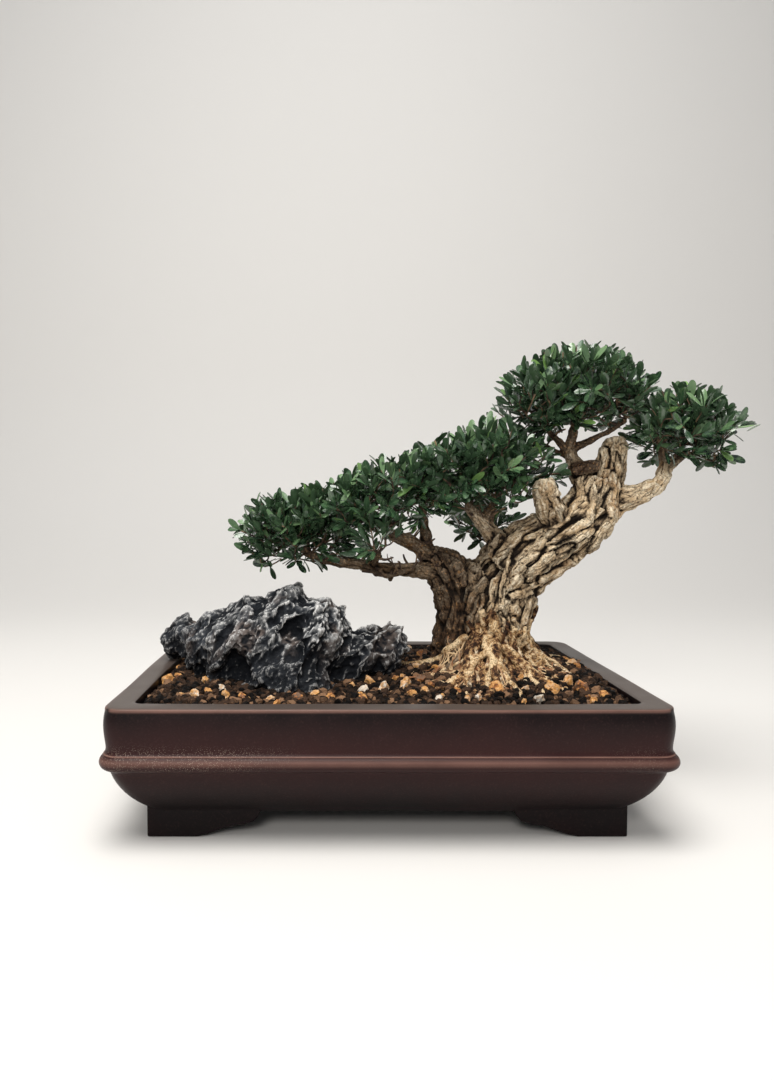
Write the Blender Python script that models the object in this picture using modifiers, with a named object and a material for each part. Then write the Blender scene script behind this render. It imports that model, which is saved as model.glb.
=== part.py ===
"""A boxwood bonsai: a leaning, plated trunk with pads of small leaves, planted with a
landscape stone in a shallow rectangular clay pot. Driving sizes are in millimetres."""

import math
import random

import bmesh
import bpy
import numpy as np
from mathutils import Matrix, Quaternion, Vector, noise
from mathutils.bvhtree import BVHTree

MM = 0.001
# The gap that touching pieces keep, the edge length that counts as a sliver, and a size past everything.
GAP = 0.35
SHORT_EDGE = 0.2
FAR = 400.0
SEED = 7

# Pot: the rim is the driving size, and the wall follows it by offsets.
RIM_HALF = (150.0, 107.5)
RIM_Z = 74.3
LIP_WIDTH = 14.5
UNDERSIDE_Z = 12.4
FLOOR_Z = 21.4
CORNER_STEPS = 3
# Each row of the wall: how far outside the rim line it lies, its height, its corner radius.
OUTER_WALL = [
    (-25.0, UNDERSIDE_Z, 9.0),
    (-21.0, 14.2, 10.0),
    (-15.5, 18.6, 10.0),
    (-10.5, 24.0, 10.0),
    (-6.3, 30.2, 9.5),
    (-3.6, 36.2, 9.5),
    (-2.4, 41.2, 9.5),
    (0.2, 42.6, 9.5),
    (2.0, 44.6, 9.5),
    (2.6, 47.2, 9.5),
    (1.9, 49.9, 9.5),
    (0.2, 51.6, 9.5),
    (-0.8, 53.2, 9.5),
    (0.3, 59.5, 9.5),
    (0.8, 66.0, 9.5),
    (0.2, 72.6, 9.5),
    (-0.5, 73.8, 9.0),
    (-1.7, RIM_Z, 8.5),
]
INNER_WALL = [
    (-LIP_WIDTH + 0.8, RIM_Z, 5.5),
    (-LIP_WIDTH, 73.4, 5.0),
    (-15.5, 50.0, 5.0),
    (-17.5, 40.0, 5.5),
    (-20.5, 33.0, 6.0),
    (-25.0, 27.0, 7.0),
    (-30.5, 23.0, 8.0),
    (-37.0, FLOOR_Z, 9.0),
]
FOOT_OUTER = (130.0, 87.5)
FOOT_THICK = 9.0
FOOT_TOP_Z = 18.8
# The foot's lower edge along the long side: distance from the corner, height.
FOOT_EDGE = [
    (0.0, 0.0), (27.0, 0.0), (33.0, 1.4), (38.0, 3.4), (44.0, 5.4), (52.0, 6.6), (58.0, 8.4), (62.0, 13.0),
]
SHORT_SIDE_SCALE = 0.62
DRAIN_X = 76.0
DRAIN_DIAMETER = 17.0
SCREEN_BAR = 1.8
SCREEN_HOLE = 6.0
SCREEN_HOLES = 3
SCREEN_THICK = 1.2
SCREEN_ROOM = 0.5

# Soil: a flat bed just under the rim, mounded up round the trunk.
SOIL_Z = 71.6
SOIL_CELL = 20.0
MOUND_HEIGHT = 11.5
MOUND_CENTRE = (74.0, 2.0)
MOUND_SPREAD = (62.0, 50.0)
RIPPLE_HEIGHT = 0.9
RIPPLE_WIDTH = 17.0
SOIL_MARGIN = 5.0
# Gravel lies mostly along the front, clear of the wood and the stone.
GRAVEL_COUNT = 12
GRAVEL_SIZE = (2.6, 3.9)
GRAVEL_X = (-130.0, 128.0)
GRAVEL_FRONT = (-88.0, -55.0)
GRAVEL_BACK = (-55.0, 86.0)
GRAVEL_BACK_SHARE = 0.3
GRAVEL_LIFT = 0.6
GRAVEL_ROOM = 7.5

# Stone: overlapping lumps along its ridge, as centre, radii and lean in degrees.
STONE_LUMPS = [
    ((-131.5, 33.0, 89.0), (16.5, 15.0, 17.5), 15.0),
    ((-118.0, 17.0, 88.0), (15.0, 19.0, 17.0), 20.0),
    ((-107.0, 3.0, 91.0), (17.0, 24.0, 26.5), 25.0),
    ((-91.0, -10.0, 94.0), (18.0, 30.0, 35.0), 25.0),
    ((-69.0, -18.0, 94.0), (20.0, 32.0, 43.0), 28.0),
    ((-48.0, -24.0, 89.0), (16.0, 34.0, 40.0), 25.0),
    ((-32.0, -18.0, 88.0), (11.0, 28.0, 33.5), 20.0),
    ((-12.0, -14.0, 84.0), (13.0, 27.0, 24.5), 25.0),
    ((3.0, -8.0, 84.0), (14.5, 23.0, 25.5), 25.0),
    ((-54.0, -42.0, 74.0), (30.0, 25.0, 18.0), 10.0),
]
STONE_BASE_Z = 66.0
STONE_VOXEL = 1.8
# Relief: ribs that rise to the right, crags and a broad swell, as depths and sizes.
RIB_SLANT = 51.5
RIB_DEPTH = 3.4
RIB_SIZE = (11.0, 16.0, 34.0)
RIB_STEEPNESS = 2.6
CRAG_DEPTH = 5.5
CRAG_SIZE = (13.0, 15.0, 21.0)
CRAG_FLAT = 0.5
SWELL_DEPTH = 2.5
SWELL_SIZE = 24.0
RELIEF_SINK = 3.4
STONE_TRIANGLES = 1050
SEAT_GAP = 0.6
CLOSE_GAP = 0.0

# Wood: each limb is a list of stations, as place and radius.
BASE_CENTRE = (67.0, -2.0)
LIMBS = {
    "right_trunk": [
        ((75, -6, 64), 26), ((75, -6, 78), 23.5), ((76, -5, 90), 19.5), ((77, -4, 101), 17.6),
        ((80, -3, 114), 17.3), ((85, -2, 128.5), 18.3), ((93, -2, 142), 19), ((106, -2, 152.5), 19),
        ((119.5, -2, 162), 19), ((131.5, -2, 172.5), 17.5), ((137.5, 0, 185), 15.5), ((140, 2, 193), 12.5),
    ],
    "left_trunk": [
        ((56, 4, 64), 22), ((54, 4, 79), 19), ((53, 4, 97), 15.4), ((52, 4, 114), 14.2),
        ((49, 4, 129), 15), ((43, 4, 140), 13.2),
    ],
    "shoulder": [((76, -2, 140), 14), ((88, -2, 153), 12.5), ((101, -2, 162), 11.5), ((114, -2, 171), 10)],
    "crotch": [((64, 0, 96), 15), ((63, 0, 118), 14.5), ((63, 1, 134), 12), ((66, 1, 140), 9)],
    "stump": [((143, 4, 186), 12.5), ((149, 4, 200), 9.6), ((152, 4, 213), 8.4), ((152.5, 4, 221), 7.4)],
    "crown_leader": [
        ((134, 0, 186), 9.5), ((129, 1, 200), 6), ((125.5, 2, 210), 4.4), ((123, 3, 219), 4),
        ((126, 4, 231), 3.6), ((127, 2, 246), 3),
    ],
    "crown_left_twig": [((123, 3, 218), 3.4), ((112, 1, 227), 2.8), ((101, -2, 238), 2.5)],
    "crown_low_twig": [((125, 3, 213), 2.8), ((113, 8, 219), 2.3), ((100, 14, 233), 2.1)],
    "crown_right_twig": [((124, 3, 221), 3.4), ((141, 1, 227), 2.8), ((156, -1, 238), 2.5)],
    "right_branch": [
        ((138, -2, 175), 11), ((153, -4, 181.5), 7.4), ((165, -6, 186.6), 6.2), ((173.5, -8, 191), 5.6),
        ((178.5, -8, 197), 4.8), ((180, -7, 203.5), 4.3), ((187, -6, 208), 3.7), ((194, -5, 213), 3.2),
        ((197, -5, 224), 2.7),
    ],
    "right_twig": [((180, -7, 203), 3.6), ((179, -6, 212), 3), ((177, -5, 224), 2.6)],
    "left_low_branch": [
        ((47, 2, 134), 10.5), ((38, 0, 137), 7.4), ((26, -4, 139), 5.6), ((13, -8, 138.6), 5),
        ((-1, -10, 140.6), 4.4), ((-15, -12, 143.4), 4.2), ((-31, -12, 144.8), 3.8), ((-42, -10, 147), 3.5),
        ((-50, -8, 154), 3.1), ((-56, -8, 166), 2.7),
    ],
    "left_low_spur": [((8, -9, 138.5), 3), ((6.5, -9, 131.5), 1.9)],
    "left_low_twig": [((-4, -11, 141.5), 3), ((-2, -20, 146), 2.5), ((-1, -27, 151), 2.2)],
    "left_tip_twig": [((-52, -8, 157), 3), ((-62, -8, 160), 2.6), ((-72, -8, 164), 2.2)],
    "left_branch": [
        ((45, 4, 139), 13), ((35, 3, 147), 8.8), ((25.6, 2, 154), 6.4), ((14, 0, 158.5), 5.2),
        ((2, -2, 163), 4.2), ((-7, -4, 171), 3.3), ((-12, -6, 181), 2.8),
    ],
    "left_upper_branch": [((33, 3, 149), 6.4), ((30, 5, 162), 4.3), ((29, 3, 174), 3.6), ((27, 0, 190), 3)],
    "centre_branch": [
        ((80, -2, 150), 9), ((72, -6, 165), 6.6), ((65, -8, 173.5), 5.6), ((59, -8, 180), 4.8),
        ((58, -7, 189), 3.8), ((60, -6, 199), 3.1),
    ],
    "centre_inner_twig": [((66, -8, 173), 4.4), ((75, -5, 188), 3.8), ((82, 0, 206), 3.1)],
    "knob": [((114, -8, 165), 10), ((108, -13, 174), 9), ((105, -16, 184), 9.6), ((105, -17, 192), 7.4)],
    "back_branch": [
        ((100, 6, 150), 9), ((91, 24, 158), 6.2), ((81, 40, 165), 4.8), ((74, 53, 172), 3.8),
        ((72, 58, 182), 3),
    ],
}
# Surface roots: direction round the base in degrees, reach and thickness.
ROOTS = [
    (-114, 56, 5.0), (-92, 58, 4.8), (-58, 50, 3.8), (-18, 46, 4.0), (26, 40, 4.8),
    (70, 42, 4.8), (118, 42, 4.8), (170, 34, 4.8), (-146, 38, 4.8),
]
# A root's stations: share of its reach, height above the soil, share of its thickness.
ROOT_HEAD = (0.16, 98.0, 1.7)
ROOT_STATIONS = [(0.5, 4.0, 1.35), (0.8, 0.6, 1.0), (1.0, -2.5, 0.7), (1.2, -10.0, 0.45)]
WOOD_VOXEL = 1.5
WOOD_TRIANGLES = 2350
WOOD_BASE_Z = 69.0
FURROW_WIDTH = 10.0
FURROW_LENGTH = 42.0
FURROW_DEPTH = 0.2
FURROW_STEEPNESS = 2.4
FURROW_LEVEL = 0.35
MOST_FURROW = 3.2

# Foliage: short sprays of three leaves stand out of each pad's core of twigs.
LEAF_LENGTH = (11.5, 14.5)
LEAF_WIDTH = (5.4, 6.4)
# Half of a leaf's outline, as shares of its length and width: widest past the middle, blunt tip.
LEAF_EDGE = [(0.62, 0.5), (1.0, 0.22)]
LEAF_SPREAD = 48.0
LEAF_DROOP = 0.3
NOTCH_REACH = 2.4
SPRAY_THICK = 2.0
SPRAY_STALK = 4.5
SPRAY_SINK = 2.5
SPRAY_ROOM = 0.8
# Sprays lean away from their pad's surface by turns: upright ones, then low ones that cover it.
LEANS = (16.0, 46.0)
LEAN_SPREAD = 7.0
ROLL_SPREAD = 28.0
LOWEST_SHARE = 0.92
MOST_TRIES = 12
# A place this much further out than its lump's own surface is on another lump.
OTHER_LUMP = 1.15
PADS = {
    "foliage_back": (16, [((72, 58, 183), (16, 11, 6)), ((82, 52, 170), (8, 7, 5))]),
    "foliage_left_low": (6, [((-1, -30, 153), (7, 5, 3.5))]),
    "foliage_centre": (52, [
        ((72, 0, 206), (17, 25, 13)), ((52, -5, 198), (12, 20, 11)), ((94, 3, 202), (16, 18, 9)),
    ]),
    "foliage_crown": (78, [
        ((102, 0, 245), (14, 24, 9)), ((136, 0, 251), (20, 28, 13)), ((121, 2, 260), (16, 18, 8)),
        ((158, -2, 246), (11, 18, 9)),
    ]),
    "foliage_right": (42, [
        ((186, -4, 227), (13, 20, 10)), ((206, -5, 225), (11, 17, 8)), ((192, -5, 238), (10, 12, 6)),
    ]),
    "foliage_left_inner": (46, [
        ((10, -5, 184), (16, 25, 12)), ((-11, -5, 178), (11, 20, 10)), ((28, -2, 190), (11, 20, 10)),
    ]),
    "foliage_left_outer": (46, [
        ((-52, -8, 161), (16, 22, 11)), ((-71, -8, 162), (11, 15, 8)), ((-37, -4, 168), (8, 18, 9)),
    ]),
}


# Shared modelling helpers


def clear_scene():
    for obj in list(bpy.data.objects):
        bpy.data.objects.remove(obj, do_unlink=True)


def new_collection(name):
    collection = bpy.data.collections.new(name)
    bpy.context.scene.collection.children.link(collection)
    return collection


def new_material(name, colour, roughness):
    material = bpy.data.materials.new(name)
    material.use_nodes = True
    shader = material.node_tree.nodes["Principled BSDF"]
    shader.inputs["Base Color"].default_value = (*colour, 1.0)
    shader.inputs["Roughness"].default_value = roughness
    shader.inputs["Metallic"].default_value = 0.0
    return material


def object_from_bmesh(name, shape, collection):
    mesh = bpy.data.meshes.new(name)
    shape.to_mesh(mesh)
    shape.free()
    obj = bpy.data.objects.new(name, mesh)
    collection.objects.link(obj)
    return obj


def drop(obj):
    mesh = obj.data
    bpy.data.objects.remove(obj, do_unlink=True)
    if mesh.users == 0 and isinstance(mesh, bpy.types.Mesh):
        bpy.data.meshes.remove(mesh)


def apply_modifiers(obj):
    graph = bpy.context.evaluated_depsgraph_get()
    mesh = bpy.data.meshes.new_from_object(obj.evaluated_get(graph))
    old = obj.data
    obj.modifiers.clear()
    obj.data = mesh
    mesh.name = obj.name
    bpy.data.meshes.remove(old)


def combine(obj, others, operation, solver="MANIFOLD"):
    """One Boolean on a collection of the others, which are then removed."""
    cutters = new_collection("cutters")
    for other in others:
        for holder in list(other.users_collection):
            holder.objects.unlink(other)
        cutters.objects.link(other)
        other.hide_render = True
        other.display_type = "WIRE"
    modifier = obj.modifiers.new(operation.title(), "BOOLEAN")
    modifier.operation = operation
    modifier.solver = solver
    modifier.operand_type = "COLLECTION"
    modifier.collection = cutters
    apply_modifiers(obj)
    for other in others:
        drop(other)
    bpy.data.collections.remove(cutters)


def keep_main_body(obj):
    """Drops loose scraps and sealed hollows, which are the smaller separate shells."""
    shape = bmesh.new()
    shape.from_mesh(obj.data)
    bmesh.ops.triangulate(shape, faces=shape.faces)
    waiting = set(shape.verts)
    bodies = []
    while waiting:
        body = {waiting.pop()}
        edge_of_body = list(body)
        while edge_of_body:
            vertex = edge_of_body.pop()
            for edge in vertex.link_edges:
                other = edge.other_vert(vertex)
                if other in waiting:
                    waiting.remove(other)
                    body.add(other)
                    edge_of_body.append(other)
        bodies.append(body)
    main = max(bodies, key=len)
    loose = [vertex for vertex in shape.verts if vertex not in main]
    bmesh.ops.delete(shape, geom=loose, context="VERTS")
    shape.to_mesh(obj.data)
    shape.free()


def clear_slivers(obj):
    """Closes up very short edges, whose ends would cross in a grown copy."""
    shape = bmesh.new()
    shape.from_mesh(obj.data)
    bmesh.ops.dissolve_degenerate(shape, edges=shape.edges, dist=SHORT_EDGE * MM)
    bmesh.ops.triangulate(shape, faces=shape.faces)
    shape.to_mesh(obj.data)
    shape.free()


def decimate(obj, ratio):
    modifier = obj.modifiers.new("Decimate", "DECIMATE")
    modifier.ratio = ratio
    modifier.use_collapse_triangulate = True
    apply_modifiers(obj)


def remesh(obj, voxel):
    modifier = obj.modifiers.new("Remesh", "REMESH")
    modifier.mode = "VOXEL"
    modifier.voxel_size = voxel * MM
    apply_modifiers(obj)


def grown_copy(obj, collection, distance=GAP):
    """A copy pushed outwards along its normals, to cut a clear seat for the original."""
    copy = bpy.data.objects.new(obj.name + "_seat", obj.data.copy())
    collection.objects.link(copy)
    shape = bmesh.new()
    shape.from_mesh(copy.data)
    for vertex, normal in [(vertex, vertex.normal.copy()) for vertex in shape.verts]:
        vertex.co += normal * distance * MM
    shape.to_mesh(copy.data)
    shape.free()
    return copy


def box(name, low, high, collection):
    shape = bmesh.new()
    bmesh.ops.create_cube(shape, size=1.0)
    size = [(b - a) * MM for a, b in zip(low, high)]
    middle = [(a + b) * MM / 2 for a, b in zip(low, high)]
    bmesh.ops.scale(shape, vec=size, verts=shape.verts)
    bmesh.ops.translate(shape, vec=middle, verts=shape.verts)
    return object_from_bmesh(name, shape, collection)


def slab(name, low_z, high_z, collection):
    """A block that spans the whole object between two heights."""
    return box(name, (-FAR, -FAR, low_z), (FAR, FAR, high_z), collection)


def lump(name, centre, radii, lean, subdivisions, collection):
    """A stretched icosphere that leans in the XZ plane."""
    shape = bmesh.new()
    bmesh.ops.create_icosphere(shape, subdivisions=subdivisions, radius=1.0)
    place = (
        Matrix.Translation(Vector(centre) * MM)
        @ Matrix.Rotation(math.radians(lean), 4, "Y")
        @ Matrix.Diagonal((*[r * MM for r in radii], 1.0))
    )
    bmesh.ops.transform(shape, matrix=place, verts=shape.verts)
    return object_from_bmesh(name, shape, collection)


def tube(name, stations, collection, sides=2):
    """A limb as a bevelled curve through its stations, made a closed mesh."""
    curve = bpy.data.curves.new(name, "CURVE")
    curve.dimensions = "3D"
    curve.bevel_depth = MM
    curve.bevel_resolution = sides
    curve.use_fill_caps = True
    spline = curve.splines.new("POLY")
    spline.points.add(len(stations) - 1)
    for point, (place, radius) in zip(spline.points, stations):
        point.co = (*[c * MM for c in place], 1.0)
        point.radius = radius
    guide = bpy.data.objects.new(name, curve)
    collection.objects.link(guide)
    mesh = bpy.data.meshes.new_from_object(guide.evaluated_get(bpy.context.evaluated_depsgraph_get()))
    shape = bmesh.new()
    shape.from_mesh(mesh)
    bmesh.ops.remove_doubles(shape, verts=shape.verts, dist=0.01 * MM)
    bmesh.ops.recalc_face_normals(shape, faces=shape.faces)
    bpy.data.objects.remove(guide)
    bpy.data.curves.remove(curve)
    bpy.data.meshes.remove(mesh)
    return object_from_bmesh(name, shape, collection)


# Pot


def rounded_rectangle(half, radius, z):
    points = []
    for sx, sy, start in ((1, 1, 0), (-1, 1, 90), (-1, -1, 180), (1, -1, 270)):
        for step in range(CORNER_STEPS + 1):
            angle = math.radians(start + 90.0 * step / CORNER_STEPS)
            x = sx * (half[0] - radius) + radius * math.cos(angle)
            y = sy * (half[1] - radius) + radius * math.sin(angle)
            points.append((x * MM, y * MM, z * MM))
    return points


def loft(name, rows, inset, collection):
    """A closed solid through rounded rectangles that follow the rim at each row's offset."""
    shape = bmesh.new()
    rings = []
    for offset, z, radius in rows:
        half = [side + offset - inset for side in RIM_HALF]
        rings.append([shape.verts.new(p) for p in rounded_rectangle(half, radius, z)])
    for lower, upper in zip(rings, rings[1:]):
        for i in range(len(lower)):
            j = (i + 1) % len(lower)
            shape.faces.new((lower[i], lower[j], upper[j], upper[i]))
    shape.faces.new(list(reversed(rings[0])))
    shape.faces.new(rings[-1])
    bmesh.ops.recalc_face_normals(shape, faces=shape.faces)
    return object_from_bmesh(name, shape, collection)


def foot_wing(name, scale, collection):
    """One side of a bracket foot: its outline extruded to the foot's thickness."""
    curve = bpy.data.curves.new(name, "CURVE")
    curve.dimensions = "2D"
    curve.fill_mode = "BOTH"
    curve.extrude = FOOT_THICK * MM / 2
    outline = [(s * scale, z) for s, z in FOOT_EDGE]
    outline += [(outline[-1][0], FOOT_TOP_Z), (0.0, FOOT_TOP_Z)]
    spline = curve.splines.new("POLY")
    spline.points.add(len(outline) - 1)
    for point, (s, z) in zip(spline.points, outline):
        point.co = (s * MM, z * MM, 0.0, 1.0)
    spline.use_cyclic_u = True
    guide = bpy.data.objects.new(name, curve)
    collection.objects.link(guide)
    mesh = bpy.data.meshes.new_from_object(guide.evaluated_get(bpy.context.evaluated_depsgraph_get()))
    bpy.data.objects.remove(guide)
    bpy.data.curves.remove(curve)
    shape = bmesh.new()
    shape.from_mesh(mesh)
    bpy.data.meshes.remove(mesh)
    bmesh.ops.remove_doubles(shape, verts=shape.verts, dist=0.01 * MM)
    bmesh.ops.recalc_face_normals(shape, faces=shape.faces)
    return object_from_bmesh(name, shape, collection)


def place_wing(wing, along, sign_x, sign_y):
    """Stands a wing at its corner, along X or along Y, inside the feet's outer line."""
    upright = Matrix.Rotation(math.radians(90), 4, "X")
    inwards = Matrix.Translation((0, FOOT_THICK * MM / 2, 0))
    turned = inwards @ upright
    if along == "Y":
        turned = Matrix(((0, 1, 0, 0), (1, 0, 0, 0), (0, 0, 1, 0), (0, 0, 0, 1))) @ turned
    # The wing now runs inwards from a corner at the origin, so each corner only mirrors it.
    corner = Matrix.Translation((-FOOT_OUTER[0] * MM, -FOOT_OUTER[1] * MM, 0))
    mirror = Matrix.Diagonal((-sign_x, -sign_y, 1, 1))
    shape = bmesh.new()
    shape.from_mesh(wing.data)
    bmesh.ops.transform(shape, matrix=mirror @ corner @ turned, verts=shape.verts)
    bmesh.ops.recalc_face_normals(shape, faces=shape.faces)
    shape.to_mesh(wing.data)
    shape.free()


def make_pot(parts, scratch):
    pot = loft("pot", OUTER_WALL + INNER_WALL, 0.0, parts)
    wings = []
    for sign_x in (-1, 1):
        for sign_y in (-1, 1):
            for along, scale in (("X", 1.0), ("Y", SHORT_SIDE_SCALE)):
                wing = foot_wing("wing", scale, scratch)
                place_wing(wing, along, sign_x, sign_y)
                wings.append(wing)
    combine(pot, wings, "UNION")
    holes = []
    for x in (-DRAIN_X, DRAIN_X):
        shape = bmesh.new()
        bmesh.ops.create_cone(
            shape, cap_ends=True, segments=16, radius1=DRAIN_DIAMETER * MM / 2,
            radius2=DRAIN_DIAMETER * MM / 2, depth=3 * (FLOOR_Z - UNDERSIDE_Z) * MM,
        )
        bmesh.ops.translate(shape, vec=(x * MM, 0, (FLOOR_Z + UNDERSIDE_Z) * MM / 2), verts=shape.verts)
        holes.append(object_from_bmesh("drain", shape, scratch))
    combine(pot, holes, "DIFFERENCE")
    return pot


def make_screens(parts, scratch):
    """Plastic mesh squares that lie over the drain holes and keep the soil in."""
    side = SCREEN_HOLES * SCREEN_HOLE + (SCREEN_HOLES + 1) * SCREEN_BAR
    low_z = FLOOR_Z + GAP
    screens = []
    for name, x in (("drain_screen_left", -DRAIN_X), ("drain_screen_right", DRAIN_X)):
        low = (x - side / 2, -side / 2, low_z)
        high = (x + side / 2, side / 2, low_z + SCREEN_THICK)
        screen = box(name, low, high, parts)
        cuts = []
        for i in range(SCREEN_HOLES):
            for j in range(SCREEN_HOLES):
                cut_x = low[0] + SCREEN_BAR + i * (SCREEN_HOLE + SCREEN_BAR)
                cut_y = low[1] + SCREEN_BAR + j * (SCREEN_HOLE + SCREEN_BAR)
                cut_low = (cut_x, cut_y, UNDERSIDE_Z)
                cut_high = (cut_x + SCREEN_HOLE, cut_y + SCREEN_HOLE, RIM_Z)
                cuts.append(box("mesh_hole", cut_low, cut_high, scratch))
        combine(screen, cuts, "DIFFERENCE")
        screens.append(screen)
    return screens, side


# Soil


def soil_height(x, y):
    dx = (x - MOUND_CENTRE[0]) / MOUND_SPREAD[0]
    dy = (y - MOUND_CENTRE[1]) / MOUND_SPREAD[1]
    ripple = noise.noise(Vector((x / RIPPLE_WIDTH, y / RIPPLE_WIDTH, 3.0)))
    return SOIL_Z + MOUND_HEIGHT * math.exp(-dx * dx - dy * dy) + RIPPLE_HEIGHT * ripple


def make_soil(wood, stone, screen_side, parts, scratch):
    bed = [row for row in reversed(INNER_WALL) if row[1] < SOIL_Z - SOIL_MARGIN]
    rows = [(offset, z + (GAP if z == FLOOR_Z else 0.0), radius) for offset, z, radius in bed]
    mouth_radius = INNER_WALL[1][2]
    rows.append((-LIP_WIDTH, SOIL_Z, mouth_radius))
    rows.append((-LIP_WIDTH, FAR, mouth_radius))
    soil = loft("soil", rows, GAP, parts)

    # A bumpy slab takes away all that is above the soil's surface.
    cells = [int(2 * side / SOIL_CELL) for side in RIM_HALF]
    shape = bmesh.new()
    bmesh.ops.create_grid(shape, x_segments=cells[0], y_segments=cells[1], size=1.0)
    bmesh.ops.scale(shape, vec=(RIM_HALF[0] * MM, RIM_HALF[1] * MM, 1), verts=shape.verts)
    for vertex in shape.verts:
        vertex.co.z = soil_height(vertex.co.x / MM, vertex.co.y / MM) * MM
    lid = bmesh.ops.extrude_face_region(shape, geom=shape.faces[:])
    for item in lid["geom"]:
        if isinstance(item, bmesh.types.BMVert):
            item.co.z = 2 * FAR * MM
    bmesh.ops.recalc_face_normals(shape, faces=shape.faces)
    combine(soil, [object_from_bmesh("above_soil", shape, scratch)], "DIFFERENCE")

    # Pieces of gravel lie half sunk in it.
    draw = random.Random(SEED)
    stones = []
    blocked = [bvh_of(wood), bvh_of(stone)]
    while len(stones) < GRAVEL_COUNT:
        x = draw.uniform(*GRAVEL_X)
        y = draw.uniform(*(GRAVEL_BACK if draw.random() < GRAVEL_BACK_SHARE else GRAVEL_FRONT))
        z = soil_height(x, y)
        near = [tree.find_nearest(Vector((x, y, z)) * MM, GRAVEL_ROOM * MM)[0] for tree in blocked]
        if any(place is not None for place in near):
            continue
        size = draw.uniform(*GRAVEL_SIZE)
        radii = (size * 1.25, size, size * 0.8)
        stones.append(lump("gravel", (x, y, z + GRAVEL_LIFT), radii, draw.uniform(0, 90), 1, scratch))
    combine(soil, stones, "UNION")
    # The second cut clears the few folds that the wider copies turn inside out.
    for gap in (SEAT_GAP, CLOSE_GAP):
        combine(soil, [grown_copy(obj, scratch, gap) for obj in (wood, stone)], "DIFFERENCE")
    recess = screen_side / 2 + SCREEN_ROOM
    low_z = UNDERSIDE_Z
    high_z = FLOOR_Z + 2 * GAP + SCREEN_THICK
    seats = [
        box("screen_seat", (x - recess, -recess, low_z), (x + recess, recess, high_z), scratch)
        for x in (-DRAIN_X, DRAIN_X)
    ]
    combine(soil, seats, "DIFFERENCE")
    keep_main_body(soil)
    return soil


# Stone


def stone_relief(point):
    """Slanting ribs, crags and hollows, in millimetres outwards."""
    x, y, z = (c / MM for c in point)
    cosine = math.cos(math.radians(RIB_SLANT))
    sine = math.sin(math.radians(RIB_SLANT))
    along = x * cosine + z * sine
    across = x * sine - z * cosine

    def sized(size):
        return Vector((across / size[0], y / size[1], along / size[2]))

    rib = 0.5 - RIB_STEEPNESS * abs(noise.noise(sized(RIB_SIZE)))
    near, second = noise.voronoi(sized(CRAG_SIZE))[0][:2]
    crag = min(second - near, CRAG_FLAT)
    swell = noise.noise(Vector((x, y, z)) / SWELL_SIZE)
    return RIB_DEPTH * rib + CRAG_DEPTH * crag + SWELL_DEPTH * swell - RELIEF_SINK


def displaced(obj, relief):
    mesh = obj.data
    normals = [vertex.normal.copy() for vertex in mesh.vertices]
    for vertex, normal in zip(mesh.vertices, normals):
        vertex.co += normal * relief(vertex.co) * MM


def make_stone(parts, scratch):
    stone = lump("stone", *STONE_LUMPS[0], 4, parts)
    rest = [lump("stone_lump", *row, 4, scratch) for row in STONE_LUMPS[1:]]
    combine(stone, rest, "UNION")
    remesh(stone, STONE_VOXEL)
    displaced(stone, stone_relief)
    remesh(stone, STONE_VOXEL)
    decimate(stone, STONE_TRIANGLES / (2.0 * len(stone.data.polygons)))
    wall_x = -RIM_HALF[0] + LIP_WIDTH + GAP
    under = slab("below_stone", -FAR, STONE_BASE_Z, scratch)
    lip = box("under_lobe", (-FAR, -FAR, FLOOR_Z), (wall_x, FAR, RIM_Z + GAP), scratch)
    combine(stone, [under, lip], "DIFFERENCE")
    keep_main_body(stone)
    clear_slivers(stone)
    return stone


# Wood


def root_stations(angle, reach, thickness):
    turn = math.radians(angle)
    run = Vector((math.cos(turn), math.sin(turn), 0))
    centre = Vector((*BASE_CENTRE, 0))
    share, head_z, width = ROOT_HEAD
    head = centre + run * reach * share
    head.z = head_z
    stations = [(tuple(head), thickness * width)]
    for share, lift, width in ROOT_STATIONS:
        place = centre + run * reach * share
        place.z = soil_height(place.x, place.y) + lift
        stations.append((tuple(place), thickness * width))
    return stations


def limb_segments(limbs):
    """Every straight piece of every limb, with two side axes that turn smoothly along it."""
    starts, ends, radii, sides_u, sides_v, reached = [], [], [], [], [], []
    for stations in limbs:
        side = Vector((0, -1, 0))
        done = 0.0
        for (a, ra), (b, rb) in zip(stations, stations[1:]):
            a = Vector(a)
            b = Vector(b)
            run = (b - a).normalized()
            side = (side - run * side.dot(run)).normalized()
            starts.append(a)
            ends.append(b)
            radii.append((ra, rb))
            sides_u.append(side)
            sides_v.append(run.cross(side))
            reached.append(done)
            done += (b - a).length
    return [np.array([tuple(v) for v in rows]) for rows in (starts, ends, sides_u, sides_v)] + [
        np.array(radii), np.array(reached)
    ]


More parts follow.
